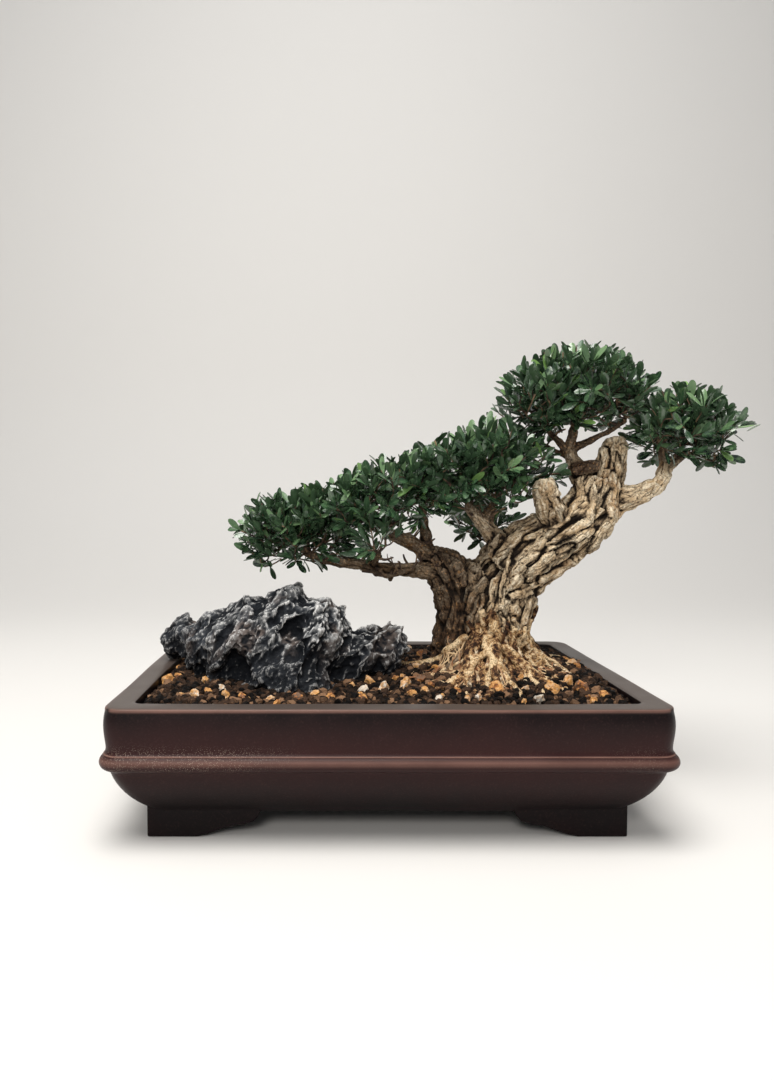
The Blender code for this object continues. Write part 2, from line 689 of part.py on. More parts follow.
def furrow(points, limbs):
    """How far each point moves in or out, so that flutes run along the limb that it is on."""
    starts, ends, sides_u, sides_v, radii, reached = limb_segments(limbs)
    depth = np.zeros(len(points))
    best = np.full(len(points), 1e9)
    place = np.zeros((len(points), 3))
    girth = np.zeros(len(points))
    for i in range(len(starts)):
        run = ends[i] - starts[i]
        length = np.linalg.norm(run)
        offset = points - starts[i]
        share = np.clip(offset @ run / length**2, 0.0, 1.0)
        away = offset - share[:, None] * run
        radius = radii[i, 0] + share * (radii[i, 1] - radii[i, 0])
        distance = np.linalg.norm(away, axis=1) - radius
        nearer = distance < best
        best[nearer] = distance[nearer]
        girth[nearer] = radius[nearer]
        place[nearer, 0] = (away @ sides_u[i])[nearer]
        place[nearer, 1] = (away @ sides_v[i])[nearer]
        place[nearer, 2] = (reached[i] + share * length)[nearer]
    for i, (u, v, s) in enumerate(place):
        where = Vector((u / FURROW_WIDTH, v / FURROW_WIDTH, s / FURROW_LENGTH))
        crest = FURROW_STEEPNESS * abs(noise.noise(where)) - FURROW_LEVEL
        depth[i] = min(FURROW_DEPTH * girth[i], MOST_FURROW) * crest
    return depth


def make_wood(parts, scratch):
    limbs = list(LIMBS.values()) + [root_stations(*root) for root in ROOTS]
    tubes = [tube("limb", stations, scratch, 3) for stations in limbs]
    wood = tubes[0]
    wood.name = "trunk"
    scratch.objects.unlink(wood)
    parts.objects.link(wood)
    combine(wood, tubes[1:], "UNION")
    remesh(wood, WOOD_VOXEL)
    smooth = wood.modifiers.new("Smooth", "SMOOTH")
    smooth.factor = 0.5
    smooth.iterations = 4
    apply_modifiers(wood)
    points = np.array([tuple(v.co) for v in wood.data.vertices]) / MM
    depth = furrow(points, limbs)
    normals = [vertex.normal.copy() for vertex in wood.data.vertices]
    for vertex, normal, out in zip(wood.data.vertices, normals, depth):
        vertex.co += normal * out * MM
    remesh(wood, WOOD_VOXEL)
    decimate(wood, WOOD_TRIANGLES / (2.0 * len(wood.data.polygons)))
    combine(wood, [slab("below_roots", -FAR, WOOD_BASE_Z, scratch)], "DIFFERENCE")
    keep_main_body(wood)
    clear_slivers(wood)
    return wood


# Foliage


def spray_outline(length, width):
    """Three spoon-shaped leaves opening from one stalk, as run, side and drop, in order round them."""
    middle = SPRAY_STALK + SPRAY_SINK
    edge = LEAF_EDGE + [(share, -half) for share, half in reversed(LEAF_EDGE)]
    outline = [(0.0, 0.0, 0.0)]
    for turn in (LEAF_SPREAD, 0.0, -LEAF_SPREAD):
        cosine = math.cos(math.radians(turn))
        sine = math.sin(math.radians(turn))
        for share, half in edge:
            run = share * length
            side = half * width
            along = middle + run * cosine - side * sine
            across = run * sine + side * cosine
            outline.append((along, across, -LEAF_DROOP * run * abs(sine)))
        if turn > -LEAF_SPREAD:
            notch = math.radians(turn - LEAF_SPREAD / 2)
            outline.append((middle + NOTCH_REACH * math.cos(notch), NOTCH_REACH * math.sin(notch), 0.0))
    return outline


def spray(root, run, side, sizes, collection):
    """A closed spray of leaves, thick at its middle and thin at its edge."""
    length, width, thick = sizes
    flat = run.cross(side).normalized()
    shape = bmesh.new()
    rim = [
        shape.verts.new((root + run * along + side * across + flat * down) * MM)
        for along, across, down in spray_outline(length, width)
    ]
    middle = root + run * (SPRAY_STALK + SPRAY_SINK)
    for sign in (-0.5, 0.5):
        crown = shape.verts.new((middle + flat * sign * thick) * MM)
        for i in range(len(rim)):
            shape.faces.new((rim[i], rim[(i + 1) % len(rim)], crown))
    bmesh.ops.recalc_face_normals(shape, faces=shape.faces)
    return object_from_bmesh("spray", shape, collection)


def bvh_of(obj):
    shape = bmesh.new()
    shape.from_mesh(obj.data)
    tree = BVHTree.FromBMesh(shape)
    shape.free()
    return tree


def share_out(total, weights):
    """Splits a count over the lumps of a pad by their surface."""
    whole = sum(weights)
    return [max(3, round(total * weight / whole)) for weight in weights]


def core_of(name, lumps, collection):
    """The smaller lumpy mass of twigs inside a pad."""
    core = lump(name, *lumps[0], 0.0, 1, collection)
    rest = [lump("core", centre, radii, 0.0, 1, collection) for centre, radii in lumps[1:]]
    if rest:
        combine(core, rest, "UNION")
    return core


def surface_places(core, lumps, count):
    """Evenly spread places on the core, from a golden spiral round each of its lumps."""
    weights = [r[0] * r[1] + r[1] * r[2] + r[0] * r[2] for _, r in lumps]
    golden = math.pi * (3.0 - math.sqrt(5.0))
    for index, ((centre, radii), number) in enumerate(zip(lumps, share_out(count, weights))):
        for k in range(number):
            height = 1.0 - 2.0 * LOWEST_SHARE * (k + 0.5) / number
            spread = math.sqrt(1.0 - height * height)
            turn = golden * k + index
            out = Vector((spread * math.cos(turn), spread * math.sin(turn), height))
            reach = Vector(r * c for r, c in zip(radii, out))
            far = Vector(centre) + 2.0 * reach
            hit = core.ray_cast(far * MM, -reach)[0]
            if hit is None or (hit / MM - Vector(centre)).length > OTHER_LUMP * reach.length:
                continue
            yield hit / MM, Vector(c / r for r, c in zip(radii, out)).normalized()


def make_pad(name, count, lumps, wood, obstacles, parts, scratch):
    """A small lumpy core with sprays of leaves that stand out of it on all sides."""
    draw = random.Random(name)
    pad = core_of(name, lumps, parts)
    pieces = []
    placed = []
    for k, (place, normal) in enumerate(surface_places(bvh_of(pad), lumps, count)):
        for _ in range(MOST_TRIES):
            lean = math.radians(draw.gauss(LEANS[k % 2], LEAN_SPREAD))
            away = normal.orthogonal().normalized()
            away.rotate(Quaternion(normal, draw.uniform(0, 2 * math.pi)))
            run = normal * math.cos(lean) + away * math.sin(lean)
            side = run.cross(normal).normalized()
            side.rotate(Quaternion(run, draw.gauss(0, math.radians(ROLL_SPREAD))))
            sizes = (draw.uniform(*LEAF_LENGTH), draw.uniform(*LEAF_WIDTH), SPRAY_THICK)
            root = place - run * SPRAY_SINK
            wide = spray(root, run, side, [size + SPRAY_ROOM for size in sizes], scratch)
            room = bvh_of(wide)
            drop(wide)
            if not any(room.overlap(tree) for tree in obstacles + placed):
                break
        else:
            continue
        placed.append(room)
        pieces.append(spray(root, run, side, sizes, scratch))
    combine(pad, pieces, "UNION")
    combine(pad, [grown_copy(wood, scratch, GAP + 0.1)], "DIFFERENCE")
    keep_main_body(pad)
    return pad


def make_foliage(wood, stone, parts, scratch):
    """The pads, each kept clear of the wood, the stone, the other cores and the pads before it."""
    cores = {}
    for name, (_, lumps) in PADS.items():
        guide = core_of("core_guide", lumps, scratch)
        cores[name] = bvh_of(guide)
        drop(guide)
    obstacles = [bvh_of(wood), bvh_of(stone)]
    pads = []
    for name, (count, lumps) in PADS.items():
        other_cores = [tree for other, tree in cores.items() if other != name]
        pad = make_pad(name, count, lumps, wood, obstacles + other_cores, parts, scratch)
        obstacles.append(bvh_of(pad))
        pads.append(pad)
    return pads


# Assembly


def set_on_origin(objects):
    """Moves everything so that the origin is under the middle of the whole, on the ground."""
    corners = np.array([tuple(v.co) for obj in objects for v in obj.data.vertices])
    low = corners.min(axis=0)
    high = corners.max(axis=0)
    shift = Matrix.Translation((-(low[0] + high[0]) / 2, -(low[1] + high[1]) / 2, -low[2]))
    for obj in objects:
        obj.data.transform(shift)


def main():
    clear_scene()
    parts = new_collection("boxwood_bonsai")
    scratch = new_collection("cutters_and_guides")
    clay = new_material("fired_clay", (0.055, 0.028, 0.022), 0.38)
    earth = new_material("bonsai_soil", (0.045, 0.028, 0.018), 0.95)
    rock = new_material("landscape_stone", (0.05, 0.055, 0.065), 0.75)
    bark = new_material("boxwood_bark", (0.42, 0.29, 0.17), 0.9)
    leaf = new_material("boxwood_leaf", (0.025, 0.09, 0.035), 0.35)
    plastic = new_material("screen_plastic", (0.02, 0.02, 0.02), 0.5)

    pot = make_pot(parts, scratch)
    screens, screen_side = make_screens(parts, scratch)
    stone = make_stone(parts, scratch)
    wood = make_wood(parts, scratch)
    soil = make_soil(wood, stone, screen_side, parts, scratch)
    pads = make_foliage(wood, stone, parts, scratch)
    finishes = [(pot, clay), (stone, rock), (wood, bark), (soil, earth)]
    finishes += [(screen, plastic) for screen in screens] + [(pad, leaf) for pad in pads]
    for obj, finish in finishes:
        obj.data.materials.clear()
        obj.data.materials.append(finish)
    for obj in (wood, stone, soil):
        obj.data.shade_smooth()
    bpy.data.collections.remove(scratch)
    set_on_origin([obj for obj, _ in finishes])


main()
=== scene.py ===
"""A boxwood bonsai dressed for its picture: the leaves, bark, stone, soil and clay that stand on
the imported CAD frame. Sizes are in millimetres, measured from under the middle of the pot."""

import math
import random

import bmesh
import bpy
import numpy as np
from mathutils import Matrix, Quaternion, Vector, noise
from mathutils.bvhtree import BVHTree


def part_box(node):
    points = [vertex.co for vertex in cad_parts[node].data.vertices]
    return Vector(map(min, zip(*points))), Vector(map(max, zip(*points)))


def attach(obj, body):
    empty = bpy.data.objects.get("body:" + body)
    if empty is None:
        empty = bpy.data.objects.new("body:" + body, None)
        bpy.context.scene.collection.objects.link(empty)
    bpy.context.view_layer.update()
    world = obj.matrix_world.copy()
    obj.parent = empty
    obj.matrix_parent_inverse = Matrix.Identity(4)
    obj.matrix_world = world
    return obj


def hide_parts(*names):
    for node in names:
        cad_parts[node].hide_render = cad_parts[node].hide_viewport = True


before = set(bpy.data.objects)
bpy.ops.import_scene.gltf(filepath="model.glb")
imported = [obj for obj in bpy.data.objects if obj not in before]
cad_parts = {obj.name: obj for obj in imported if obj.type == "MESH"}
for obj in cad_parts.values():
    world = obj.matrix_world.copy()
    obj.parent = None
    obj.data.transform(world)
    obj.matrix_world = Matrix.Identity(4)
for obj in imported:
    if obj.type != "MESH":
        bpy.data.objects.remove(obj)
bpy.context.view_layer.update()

# Clay pot
# A shallow rectangular pot of unglazed stoneware, burnished to a satin red-brown that is nearly black.
# Its flat lip, straight wall, round band and curved foot are one pressed piece on four bracket feet.

MM = 0.001
pot_low, pot_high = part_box("pot")
POT_X = (pot_low.x + pot_high.x) / 2
RIM_HALF = (150.0, 107.5)
RIM_Z = 74.3
LIP_WIDTH = 14.5
OUTER_CORNER = 8.2
INNER_CORNER = 4.4
# Each row of the wall: how far outside the rim line it lies, and its height.
OUTER_WALL = [
    (-25, 12.4), (-24.2, 12.6), (-21, 14.2), (-15.5, 18.6), (-10.5, 24), (-6.3, 30.2), (-3.6, 36.2),
    (-2.7, 39.6), (-2.5, 40.9), (-1.2, 41.2), (0.6, 42.2), (1.7, 43.8), (2.1, 45.6), (1.8, 47.4),
    (0.9, 48.8), (-0.1, 49.2), (0.2, 49.5), (0.2, 49.9), (-0.4, 50.2), (-0.9, 51.4), (-0.9, 54),
    (-0.2, 59), (0.2, 64), (-0.1, 69), (-0.8, 72), (-0.7, 73.2), (-0.9, 74), (-1.7, 74.3),
]
INNER_WALL = [
    (-37, 21.4), (-30.5, 23), (-25, 27), (-20.5, 33), (-17.5, 40), (-15.5, 50), (-14.8, 66), (-14.6, 73),
    (-14.3, 74), (-13.6, 74.3),
]
FOOT_HALF = (130.0, 87.5)
FOOT_THICK = 9.0
FOOT_TOP = 18.8
FOOT_EDGE = [
    (0, 0), (27, 0), (33, 1.4), (38, 3.4), (44, 5.4), (52, 6.6), (58, 8.6), (60.5, 12), (62, 16),
]
SHORT_SIDE = 0.62
DRAIN_X = 76.0
DRAIN_RADIUS = 8.5
DRAIN_CUT = 40.0
LIP_LIFT = 20.0


def clear_selection():
    """Nothing stays selected when a new piece starts, because operators act on all that is."""
    bpy.ops.object.select_all(action="DESELECT")


def choose(test):
    """In edit mode, selects the points whose place, in millimetres, passes the test."""
    bpy.ops.mesh.select_mode(type="VERT")
    bpy.ops.mesh.select_all(action="DESELECT")
    mesh = bpy.context.object.data
    shape = bmesh.from_edit_mesh(mesh)
    for vertex in shape.verts:
        if test(vertex.co / MM):
            vertex.select_set(True)
    shape.select_flush(True)
    bmesh.update_edit_mesh(mesh)


def apply_all(piece):
    bpy.context.view_layer.objects.active = piece
    for modifier in list(piece.modifiers):
        bpy.ops.object.modifier_apply(modifier=modifier.name)


def only(piece):
    """Makes this piece the one that is selected and active."""
    clear_selection()
    piece.select_set(True)
    bpy.context.view_layer.objects.active = piece


def edit_all():
    """Goes into edit mode with the whole mesh selected."""
    bpy.ops.object.mode_set(mode="EDIT")
    bpy.ops.mesh.select_all(action="SELECT")


def clay_shell(rows, corner):
    """A round-cornered sheet, drawn up through the rows of a wall by extruding and resizing it."""
    clear_selection()
    bpy.ops.mesh.primitive_grid_add(x_subdivisions=18, y_subdivisions=12, size=2.0)
    half = [side + rows[0][0] for side in RIM_HALF]
    bpy.ops.object.mode_set(mode="EDIT")
    bpy.ops.transform.resize(value=(half[0] * MM, half[1] * MM, 1.0))
    bpy.ops.transform.translate(value=(0.0, 0.0, rows[0][1] * MM))
    choose(lambda p: abs(p.x) > half[0] - 1.0 and abs(p.y) > half[1] - 1.0)
    bpy.ops.mesh.bevel(offset=corner * MM, segments=6, affect="VERTICES")
    bpy.ops.mesh.select_all(action="SELECT")
    for (offset, z), (next_offset, next_z) in zip(rows, rows[1:]):
        bpy.ops.mesh.extrude_region_move(TRANSFORM_OT_translate={"value": (0.0, 0.0, (next_z - z) * MM)})
        share = [(side + next_offset) / (side + offset) for side in RIM_HALF]
        bpy.ops.transform.resize(value=(*share, 1.0), center_override=(0.0, 0.0, next_z * MM))
    # The sheet itself, now at the top, comes off.
    bpy.ops.mesh.delete(type="FACE")
    bpy.ops.object.mode_set(mode="OBJECT")
    return bpy.context.object


def bracket_foot(mirror):
    """A bracket foot: a strip with a shaped lower edge, bent round its corner of the pot and thickened."""
    clear_selection()
    bpy.ops.mesh.primitive_grid_add(x_subdivisions=64, y_subdivisions=1, size=2.0)
    foot = bpy.context.object
    runs = [run for run, _ in FOOT_EDGE]
    rises = [rise for _, rise in FOOT_EDGE]
    for vertex in foot.data.vertices:
        # No column comes nearer to the bend than the foot is thick, or its inner side would fold.
        run = np.interp(abs(vertex.co.x), (0.0, 1 / 32, 1.0), (0.0, 16.0, runs[-1]))
        rise = FOOT_TOP if vertex.co.y > 0 else np.interp(run, runs, rises)
        # One half of the strip runs along the long side, and the other, shorter, along the short side.
        along = (run, 0.0) if vertex.co.x < 0 else (0.0, run * SHORT_SIDE)
        vertex.co = ((along[0] - FOOT_HALF[0]) * MM, (along[1] - FOOT_HALF[1]) * MM, rise * MM)
    foot.data.transform(Matrix.Diagonal((*mirror, 1, 1)))
    edit_all()
    # The strip faces away from the middle of the pot before it is thickened inwards.
    shape = bmesh.from_edit_mesh(foot.data)
    shape.normal_update()
    if sum(face.normal.dot(face.calc_center_median().normalized()) for face in shape.faces) < 0:
        bpy.ops.mesh.flip_normals()
    bpy.ops.object.mode_set(mode="OBJECT")
    thick = foot.modifiers.new("Thickness", "SOLIDIFY")
    thick.thickness = FOOT_THICK * MM
    thick.offset = -1.0
    thick.use_even_offset = True
    soften = foot.modifiers.new("Soft edges", "BEVEL")
    soften.width = 1.2 * MM
    soften.segments = 3
    soften.angle_limit = math.radians(50)
    apply_all(foot)
    return foot


def boolean(piece, others, operation):
    """Joins the others to a piece, or cuts them from it, and removes them."""
    for other in others:
        modifier = piece.modifiers.new("Cut", "BOOLEAN")
        modifier.operation = operation
        modifier.solver = "EXACT"
        modifier.object = other
    apply_all(piece)
    for other in others:
        bpy.data.objects.remove(other, do_unlink=True)


outside = clay_shell(OUTER_WALL, OUTER_CORNER)
inside = clay_shell(INNER_WALL, INNER_CORNER)
only(outside)
inside.select_set(True)
bpy.ops.object.join()
pot = outside
pot.name = "clay_pot"
bpy.ops.object.mode_set(mode="EDIT")
# The inner edge is held above the outer one while the lip is drawn between them, so that it can't twist.
mouth_x, mouth_y = [side - LIP_WIDTH + 2.0 for side in RIM_HALF]
choose(lambda p: p.z > RIM_Z - 0.05 and abs(p.x) < mouth_x and abs(p.y) < mouth_y)
bpy.ops.transform.translate(value=(0.0, 0.0, LIP_LIFT * MM))
choose(lambda p: p.z > RIM_Z - 0.05)
bpy.ops.mesh.select_mode(type="EDGE")
bpy.ops.mesh.bridge_edge_loops()
choose(lambda p: p.z > RIM_Z + LIP_LIFT / 2)
bpy.ops.transform.translate(value=(0.0, 0.0, -LIP_LIFT * MM))
bpy.ops.mesh.select_all(action="SELECT")
bpy.ops.mesh.normals_make_consistent(inside=False)
bpy.ops.object.mode_set(mode="OBJECT")
# Handling wears the edge of the lip, the crown of the band and the fine line above it; the crown of the band
# and the edge of the lip are also painted lighter, a painted highlight of the light from above.
wear_and_painted_light = []
for vertex in pot.data.vertices:
    x, y, z = vertex.co / MM
    outer = max(abs(x) - RIM_HALF[0], abs(y) - RIM_HALF[1]) > -2.5
    edge = 0.26 if outer and 73.1 < z < 74.1 else 0.0
    line = 0.34 if 49.4 < z < 50.0 else 0.0
    band = 0.27 * max(0.0, 1.0 - abs(z - 46.8) / 2.8)
    wear_and_painted_light.append(max(edge, line, band))
pot.data.attributes.new("crest", "FLOAT", "POINT").data.foreach_set("value", wear_and_painted_light)
smooth = pot.modifiers.new("Pressed clay", "SUBSURF")
smooth.levels = smooth.render_levels = 1
# Drying and firing leave the long sides a little uneven.
swell = bpy.data.textures.new("kiln_swell", "CLOUDS")
swell.noise_scale = 0.07
swell.noise_depth = 1
warp = pot.modifiers.new("Kiln swell", "DISPLACE")
warp.texture = swell
warp.strength = 0.7 * MM
warp.mid_level = 0.5
apply_all(pot)
feet = [bracket_foot((mirror_x, mirror_y)) for mirror_x in (1, -1) for mirror_y in (1, -1)]
boolean(pot, feet, "UNION")
drains = []
for drain_x in (-DRAIN_X, DRAIN_X):
    clear_selection()
    place = (drain_x * MM, 0.0, 17.0 * MM)
    bpy.ops.mesh.primitive_cylinder_add(
        vertices=32, radius=DRAIN_RADIUS * MM, depth=DRAIN_CUT * MM, location=place
    )
    bpy.ops.object.transform_apply()
    drains.append(bpy.context.object)
boolean(pot, drains, "DIFFERENCE")
# Slivers that the cuts leave are merged, and their seams closed.
only(pot)
for _ in range(2):
    edit_all()
    bpy.ops.mesh.remove_doubles(threshold=0.02 * MM)
    bpy.ops.mesh.dissolve_degenerate(threshold=0.01 * MM)
    bpy.ops.mesh.select_all(action="SELECT")
    bpy.ops.mesh.fill_holes(sides=12)
    bpy.ops.object.mode_set(mode="OBJECT")


class Graph:
    """A tree of shader nodes, with the few kinds of node that the finishes here are made of."""

    place = None

    def __init__(self, tree):
        self.tree = tree

    def feed(self, node, inputs):
        """Sets a node's inputs. Each is a plain value, or the socket that feeds it."""
        for key, value in inputs.items():
            if isinstance(value, bpy.types.NodeSocket):
                self.tree.links.new(value, node.inputs[key])
            else:
                node.inputs[key].default_value = value

    def add(self, kind, inputs=(), **settings):
        made = self.tree.nodes.new("ShaderNode" + kind)
        for key, value in settings.items():
            setattr(made, key, value)
        self.feed(made, dict(inputs))
        return made

    def noise(self, scale, detail, place=None, roughness=0.5):
        """Cloudy noise at a place, which is the object's own unless another is given."""
        inputs = {"Vector": place or self.place, "Scale": scale, "Detail": detail, "Roughness": roughness}
        return self.add("TexNoise", inputs).outputs[0]

    def span(self, value, low, high, to_low=0.0, to_high=1.0):
        """A value read from one range into another, and held there."""
        ranges = {0: value, 1: low, 2: high, 3: to_low, 4: to_high}
        return self.add("MapRange", ranges, interpolation_type="SMOOTHSTEP").outputs[0]

    def times(self, first, second):
        return self.add("Math", {0: first, 1: second}, operation="MULTIPLY").outputs[0]

    def plus(self, first, second):
        return self.add("Math", {0: first, 1: second}, operation="ADD").outputs[0]

    def mix(self, share, low, high):
        """One colour laid over another by a mask."""
        low, high = [(*colour, 1.0) if isinstance(colour, tuple) else colour for colour in (low, high)]
        return self.add("Mix", {0: share, 6: low, 7: high}, data_type="RGBA", clamp_factor=True).outputs[2]


# The weathering that clay, stone and bark share: broad clouds, fine grain, scattered specks, and painted
# shade in what lies low, where crevices would be in shadow.
weathering_and_shade = Graph(bpy.data.node_groups.new("weathering_and_shade", "ShaderNodeTree"))
for way, sockets in (
    ("INPUT", ("Vector", "Crest", "Cloud Scale", "Grain Scale", "Speck Scale")),
    ("OUTPUT", ("Cloud", "Grain", "Specks", "Crevice Shade")),
):
    for name in sockets:
        kind = "NodeSocketVector" if name == "Vector" else "NodeSocketFloat"
        weathering_and_shade.tree.interface.new_socket(name, in_out=way, socket_type=kind)
entry = weathering_and_shade.tree.nodes.new("NodeGroupInput").outputs
cloud = weathering_and_shade.noise(entry["Cloud Scale"], 4.0, entry["Vector"])
grain = weathering_and_shade.noise(entry["Grain Scale"], 6.0, entry["Vector"])
cells = weathering_and_shade.add("TexVoronoi", {"Vector": entry["Vector"], "Scale": entry["Speck Scale"]})
ragged = weathering_and_shade.plus(entry["Crest"], weathering_and_shade.span(grain, 0.3, 0.7, -0.12, 0.12))
weathering_and_shade.feed(weathering_and_shade.tree.nodes.new("NodeGroupOutput"), {
    "Cloud": cloud, "Grain": grain, "Specks": weathering_and_shade.span(cells.outputs["Distance"], 0.28, 0.12),
    "Crevice Shade": weathering_and_shade.span(ragged, -0.02, -0.4),
})


class Finish(Graph):
    """A material in the making: colours are laid over its ground one by one, each by a mask."""

    def __init__(self, name, ground):
        self.material = bpy.data.materials.new(name)
        self.material.use_nodes = True
        super().__init__(self.material.node_tree)
        self.place = self.add("TexCoord").outputs["Object"]
        self.colour = ground

    def attribute(self, name):
        return self.add("Attribute", attribute_name=name).outputs["Fac"]

    def weather(self, crest, clouds, grains, specks):
        """The shared weathering and painted crevice shade at this material's own scales, as its named
        outputs.
        """
        inputs = {"Vector": self.place, "Crest": crest}
        inputs |= {"Cloud Scale": clouds, "Grain Scale": grains, "Speck Scale": specks}
        return self.add("Group", inputs, node_tree=weathering_and_shade.tree).outputs

    def lay(self, colour, mask):
        self.colour = self.mix(mask, self.colour, colour)

    def wash(self, colour, value, low, high, most=1.0):
        """Lays a colour over the rest as a value goes from low to high."""
        self.lay(colour, self.span(value, low, high, 0.0, most))

    def close(self, roughness, bump=None, specular=0.5):
        """Wires up the shader. The bump is its strength, its depth in metres and its height."""
        colour = (*self.colour, 1.0) if isinstance(self.colour, tuple) else self.colour
        inputs = {"Base Color": colour, "Roughness": roughness, "Specular IOR Level": specular}
        if bump:
            strength, depth, height = bump
            made = self.add("Bump", {"Strength": strength, "Distance": depth, "Height": height})
            inputs["Normal"] = made.outputs[0]
        self.feed(self.tree.nodes["Principled BSDF"], inputs)


def dress(piece, finish, angle=180.0):
    """Moves a piece from the pot's own middle to its place in the frame, and gives it its finish. Edges
    sharper than the angle, in degrees, stay sharp."""
    piece.data.transform(Matrix.Translation((POT_X, 0.0, 0.0)))
    piece.data.update()
    piece.data.materials.append(finish.material)
    if angle < 180.0:
        only(piece)
        bpy.ops.object.shade_smooth_by_angle(angle=math.radians(angle))
    else:
        piece.data.shade_smooth()


DARK_CLAY = (0.005, 0.0028, 0.0032)
RED_CLAY = (0.034, 0.0108, 0.0105)
LIP_SHEEN_CLAY = (0.085, 0.066, 0.056)
WORN_AND_SHEEN_CLAY = (0.27, 0.145, 0.115)
SPECK_CLAY = (0.42, 0.33, 0.26)
clay = Finish("fired_clay", DARK_CLAY)
crest = clay.attribute("crest")
wear_and_painted_light = clay.weather(crest, 22.0, 900.0, 1500.0)
width, _, height = clay.add("SeparateXYZ", {0: clay.place}).outputs
# The wall is reddest just above the band and nearly black at the lip; towards the feet the red fades to
# nearly black, which is painted shade.
red_above_foot_shade = clay.times(clay.span(height, 0.076, 0.05, 0.0, 0.8), clay.span(height, 0.014, 0.052, 0.05, 1.0))
clay.lay(RED_CLAY, clay.plus(red_above_foot_shade, clay.span(wear_and_painted_light["Cloud"], 0.35, 0.7, -0.08, 0.12)))
clay.wash(WORN_AND_SHEEN_CLAY, wear_and_painted_light["Grain"], 0.5, 0.8, 0.05)
# The top of the lip is painted pale grey-brown: a painted sheen of the light from above.
clay.wash(LIP_SHEEN_CLAY, height, 0.0735, 0.0742, 0.85)
# The rubbed marks are partly real wear and partly painted highlight on the band's crown and the lip's edge.
rubbed_and_sheen = clay.times(clay.span(crest, 0.0, 0.36, 0.0, 0.78), clay.span(wear_and_painted_light["Cloud"], 0.3, 0.7, 0.65, 1.0))
clay.lay(WORN_AND_SHEEN_CLAY, rubbed_and_sheen)
# Pale grit shows in patches, mostly round the band.
near_band = clay.times(clay.span(height, 0.038, 0.045, 0.0, 0.95), clay.span(height, 0.057, 0.05))
left_end = clay.span(width, POT_X - 0.03, POT_X - 0.1)
right_end = clay.span(width, POT_X + 0.1, POT_X + 0.15, 0.0, 0.5)
patches = clay.span(clay.noise(26.0, 2.0), 0.38, 0.56)
patches = clay.times(patches, clay.plus(left_end, clay.plus(right_end, 0.08)))
grit = clay.times(wear_and_painted_light["Specks"], patches)
clay.lay(SPECK_CLAY, clay.times(grit, clay.plus(near_band, 0.015)))
dull = clay.plus(clay.span(wear_and_painted_light["Cloud"], 0.3, 0.7, 0.34, 0.46), clay.span(height, 0.034, 0.018, 0.0, 0.3))
rough = clay.plus(clay.times(wear_and_painted_light["Grain"], 0.4), clay.times(wear_and_painted_light["Cloud"], 1.2))
clay.close(dull, (0.3, 0.0005, rough), 0.15)

dress(pot, clay, 40.0)
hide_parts("pot")
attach(pot, "root")

# Drain screens
# Two squares of black plastic mesh lie over the drain holes, under the soil, and stop it washing out.
# They are moulded flat; the CAD nodes have their shape, so only their finish is made here.

plastic = Finish("screen_plastic", (0.012, 0.012, 0.013))
moulded = plastic.noise(500.0, 3.0)
plastic.lay((0.03, 0.03, 0.032), moulded)
plastic.close(plastic.span(moulded, 0.3, 0.7, 0.42, 0.6), (0.2, 0.0003, moulded))
for name in ("drain_screen_left", "drain_screen_right"):
    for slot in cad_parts[name].material_slots:
        slot.material = plastic.material

# Landscape stone
# A ridge of dark blue-grey limestone, cracked and pitted by water, with pale veins that rise to the right.
# It is one natural stone, set into the soil with its left lobe over the lip of the pot.

STONE_SEED = 11
STONE_VOXEL = 0.72
STONE_SLANT = math.radians(51.5)
# Each layer of relief: its kind, its sizes across, in depth and along the slant, and how deep it goes.
STONE_LAYERS = [
    ("rib", (11.0, 13.0, 30.0), 2.0),
    ("crag", (12.0, 12.0, 17.0), 2.4),
    ("ridged", (13.0, 13.0, 19.0), 1.6),
    ("pit", (8.5, 8.5, 11.0), 1.9),
    ("crag", (5.6, 5.6, 8.0), 1.3),
    ("ridged", (5.2, 5.2, 7.6), 0.7),
    ("pit", (4.2, 4.2, 5.0), 1.2),
    ("ridged", (2.3, 2.3, 3.2), 0.22),
]


def copy_of_node(name, copy_name):
    """A merged copy of a CAD node's mesh, in millimetres and the pot's own place."""
    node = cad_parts[name]
    piece = bpy.data.objects.new(copy_name, node.data.copy())
    piece.data.materials.clear()
    bpy.context.scene.collection.objects.link(piece)
    piece.data.transform(Matrix.Translation((-POT_X, 0.0, 0.0)))
    only(piece)
    edit_all()
    bpy.ops.mesh.remove_doubles(threshold=0.002 * MM)
    bpy.ops.object.mode_set(mode="OBJECT")
    return piece


def remesh(piece, voxel, softness):
    """An even skin of small faces, then smoothed."""
    skin = piece.modifiers.new("Skin", "REMESH")
    skin.mode = "VOXEL"
    skin.voxel_size = voxel * MM
    if softness:
        soft = piece.modifiers.new("Soft", "SMOOTH")
        soft.factor = 0.5
        soft.iterations = softness
    apply_all(piece)


def points_of(piece):
    points = np.empty(len(piece.data.vertices) * 3)
    piece.data.vertices.foreach_get("co", points)
    return points.reshape(-1, 3) / MM


def normals_of(piece):
    normals = np.empty(len(piece.data.vertices) * 3)
    piece.data.vertices.foreach_get("normal", normals)
    return normals.reshape(-1, 3)


def move_points(piece, points):
    piece.data.vertices.foreach_set("co", (points * MM).astype(np.float32).reshape(-1))
    piece.data.update()


def store(piece, name, values, domain="POINT"):
    """Writes a value at each point, or for each face, as an attribute that the finishes read."""
    layer = piece.data.attributes.new(name, "FLOAT", domain)
    layer.data.foreach_set("value", np.asarray(values, np.float32))


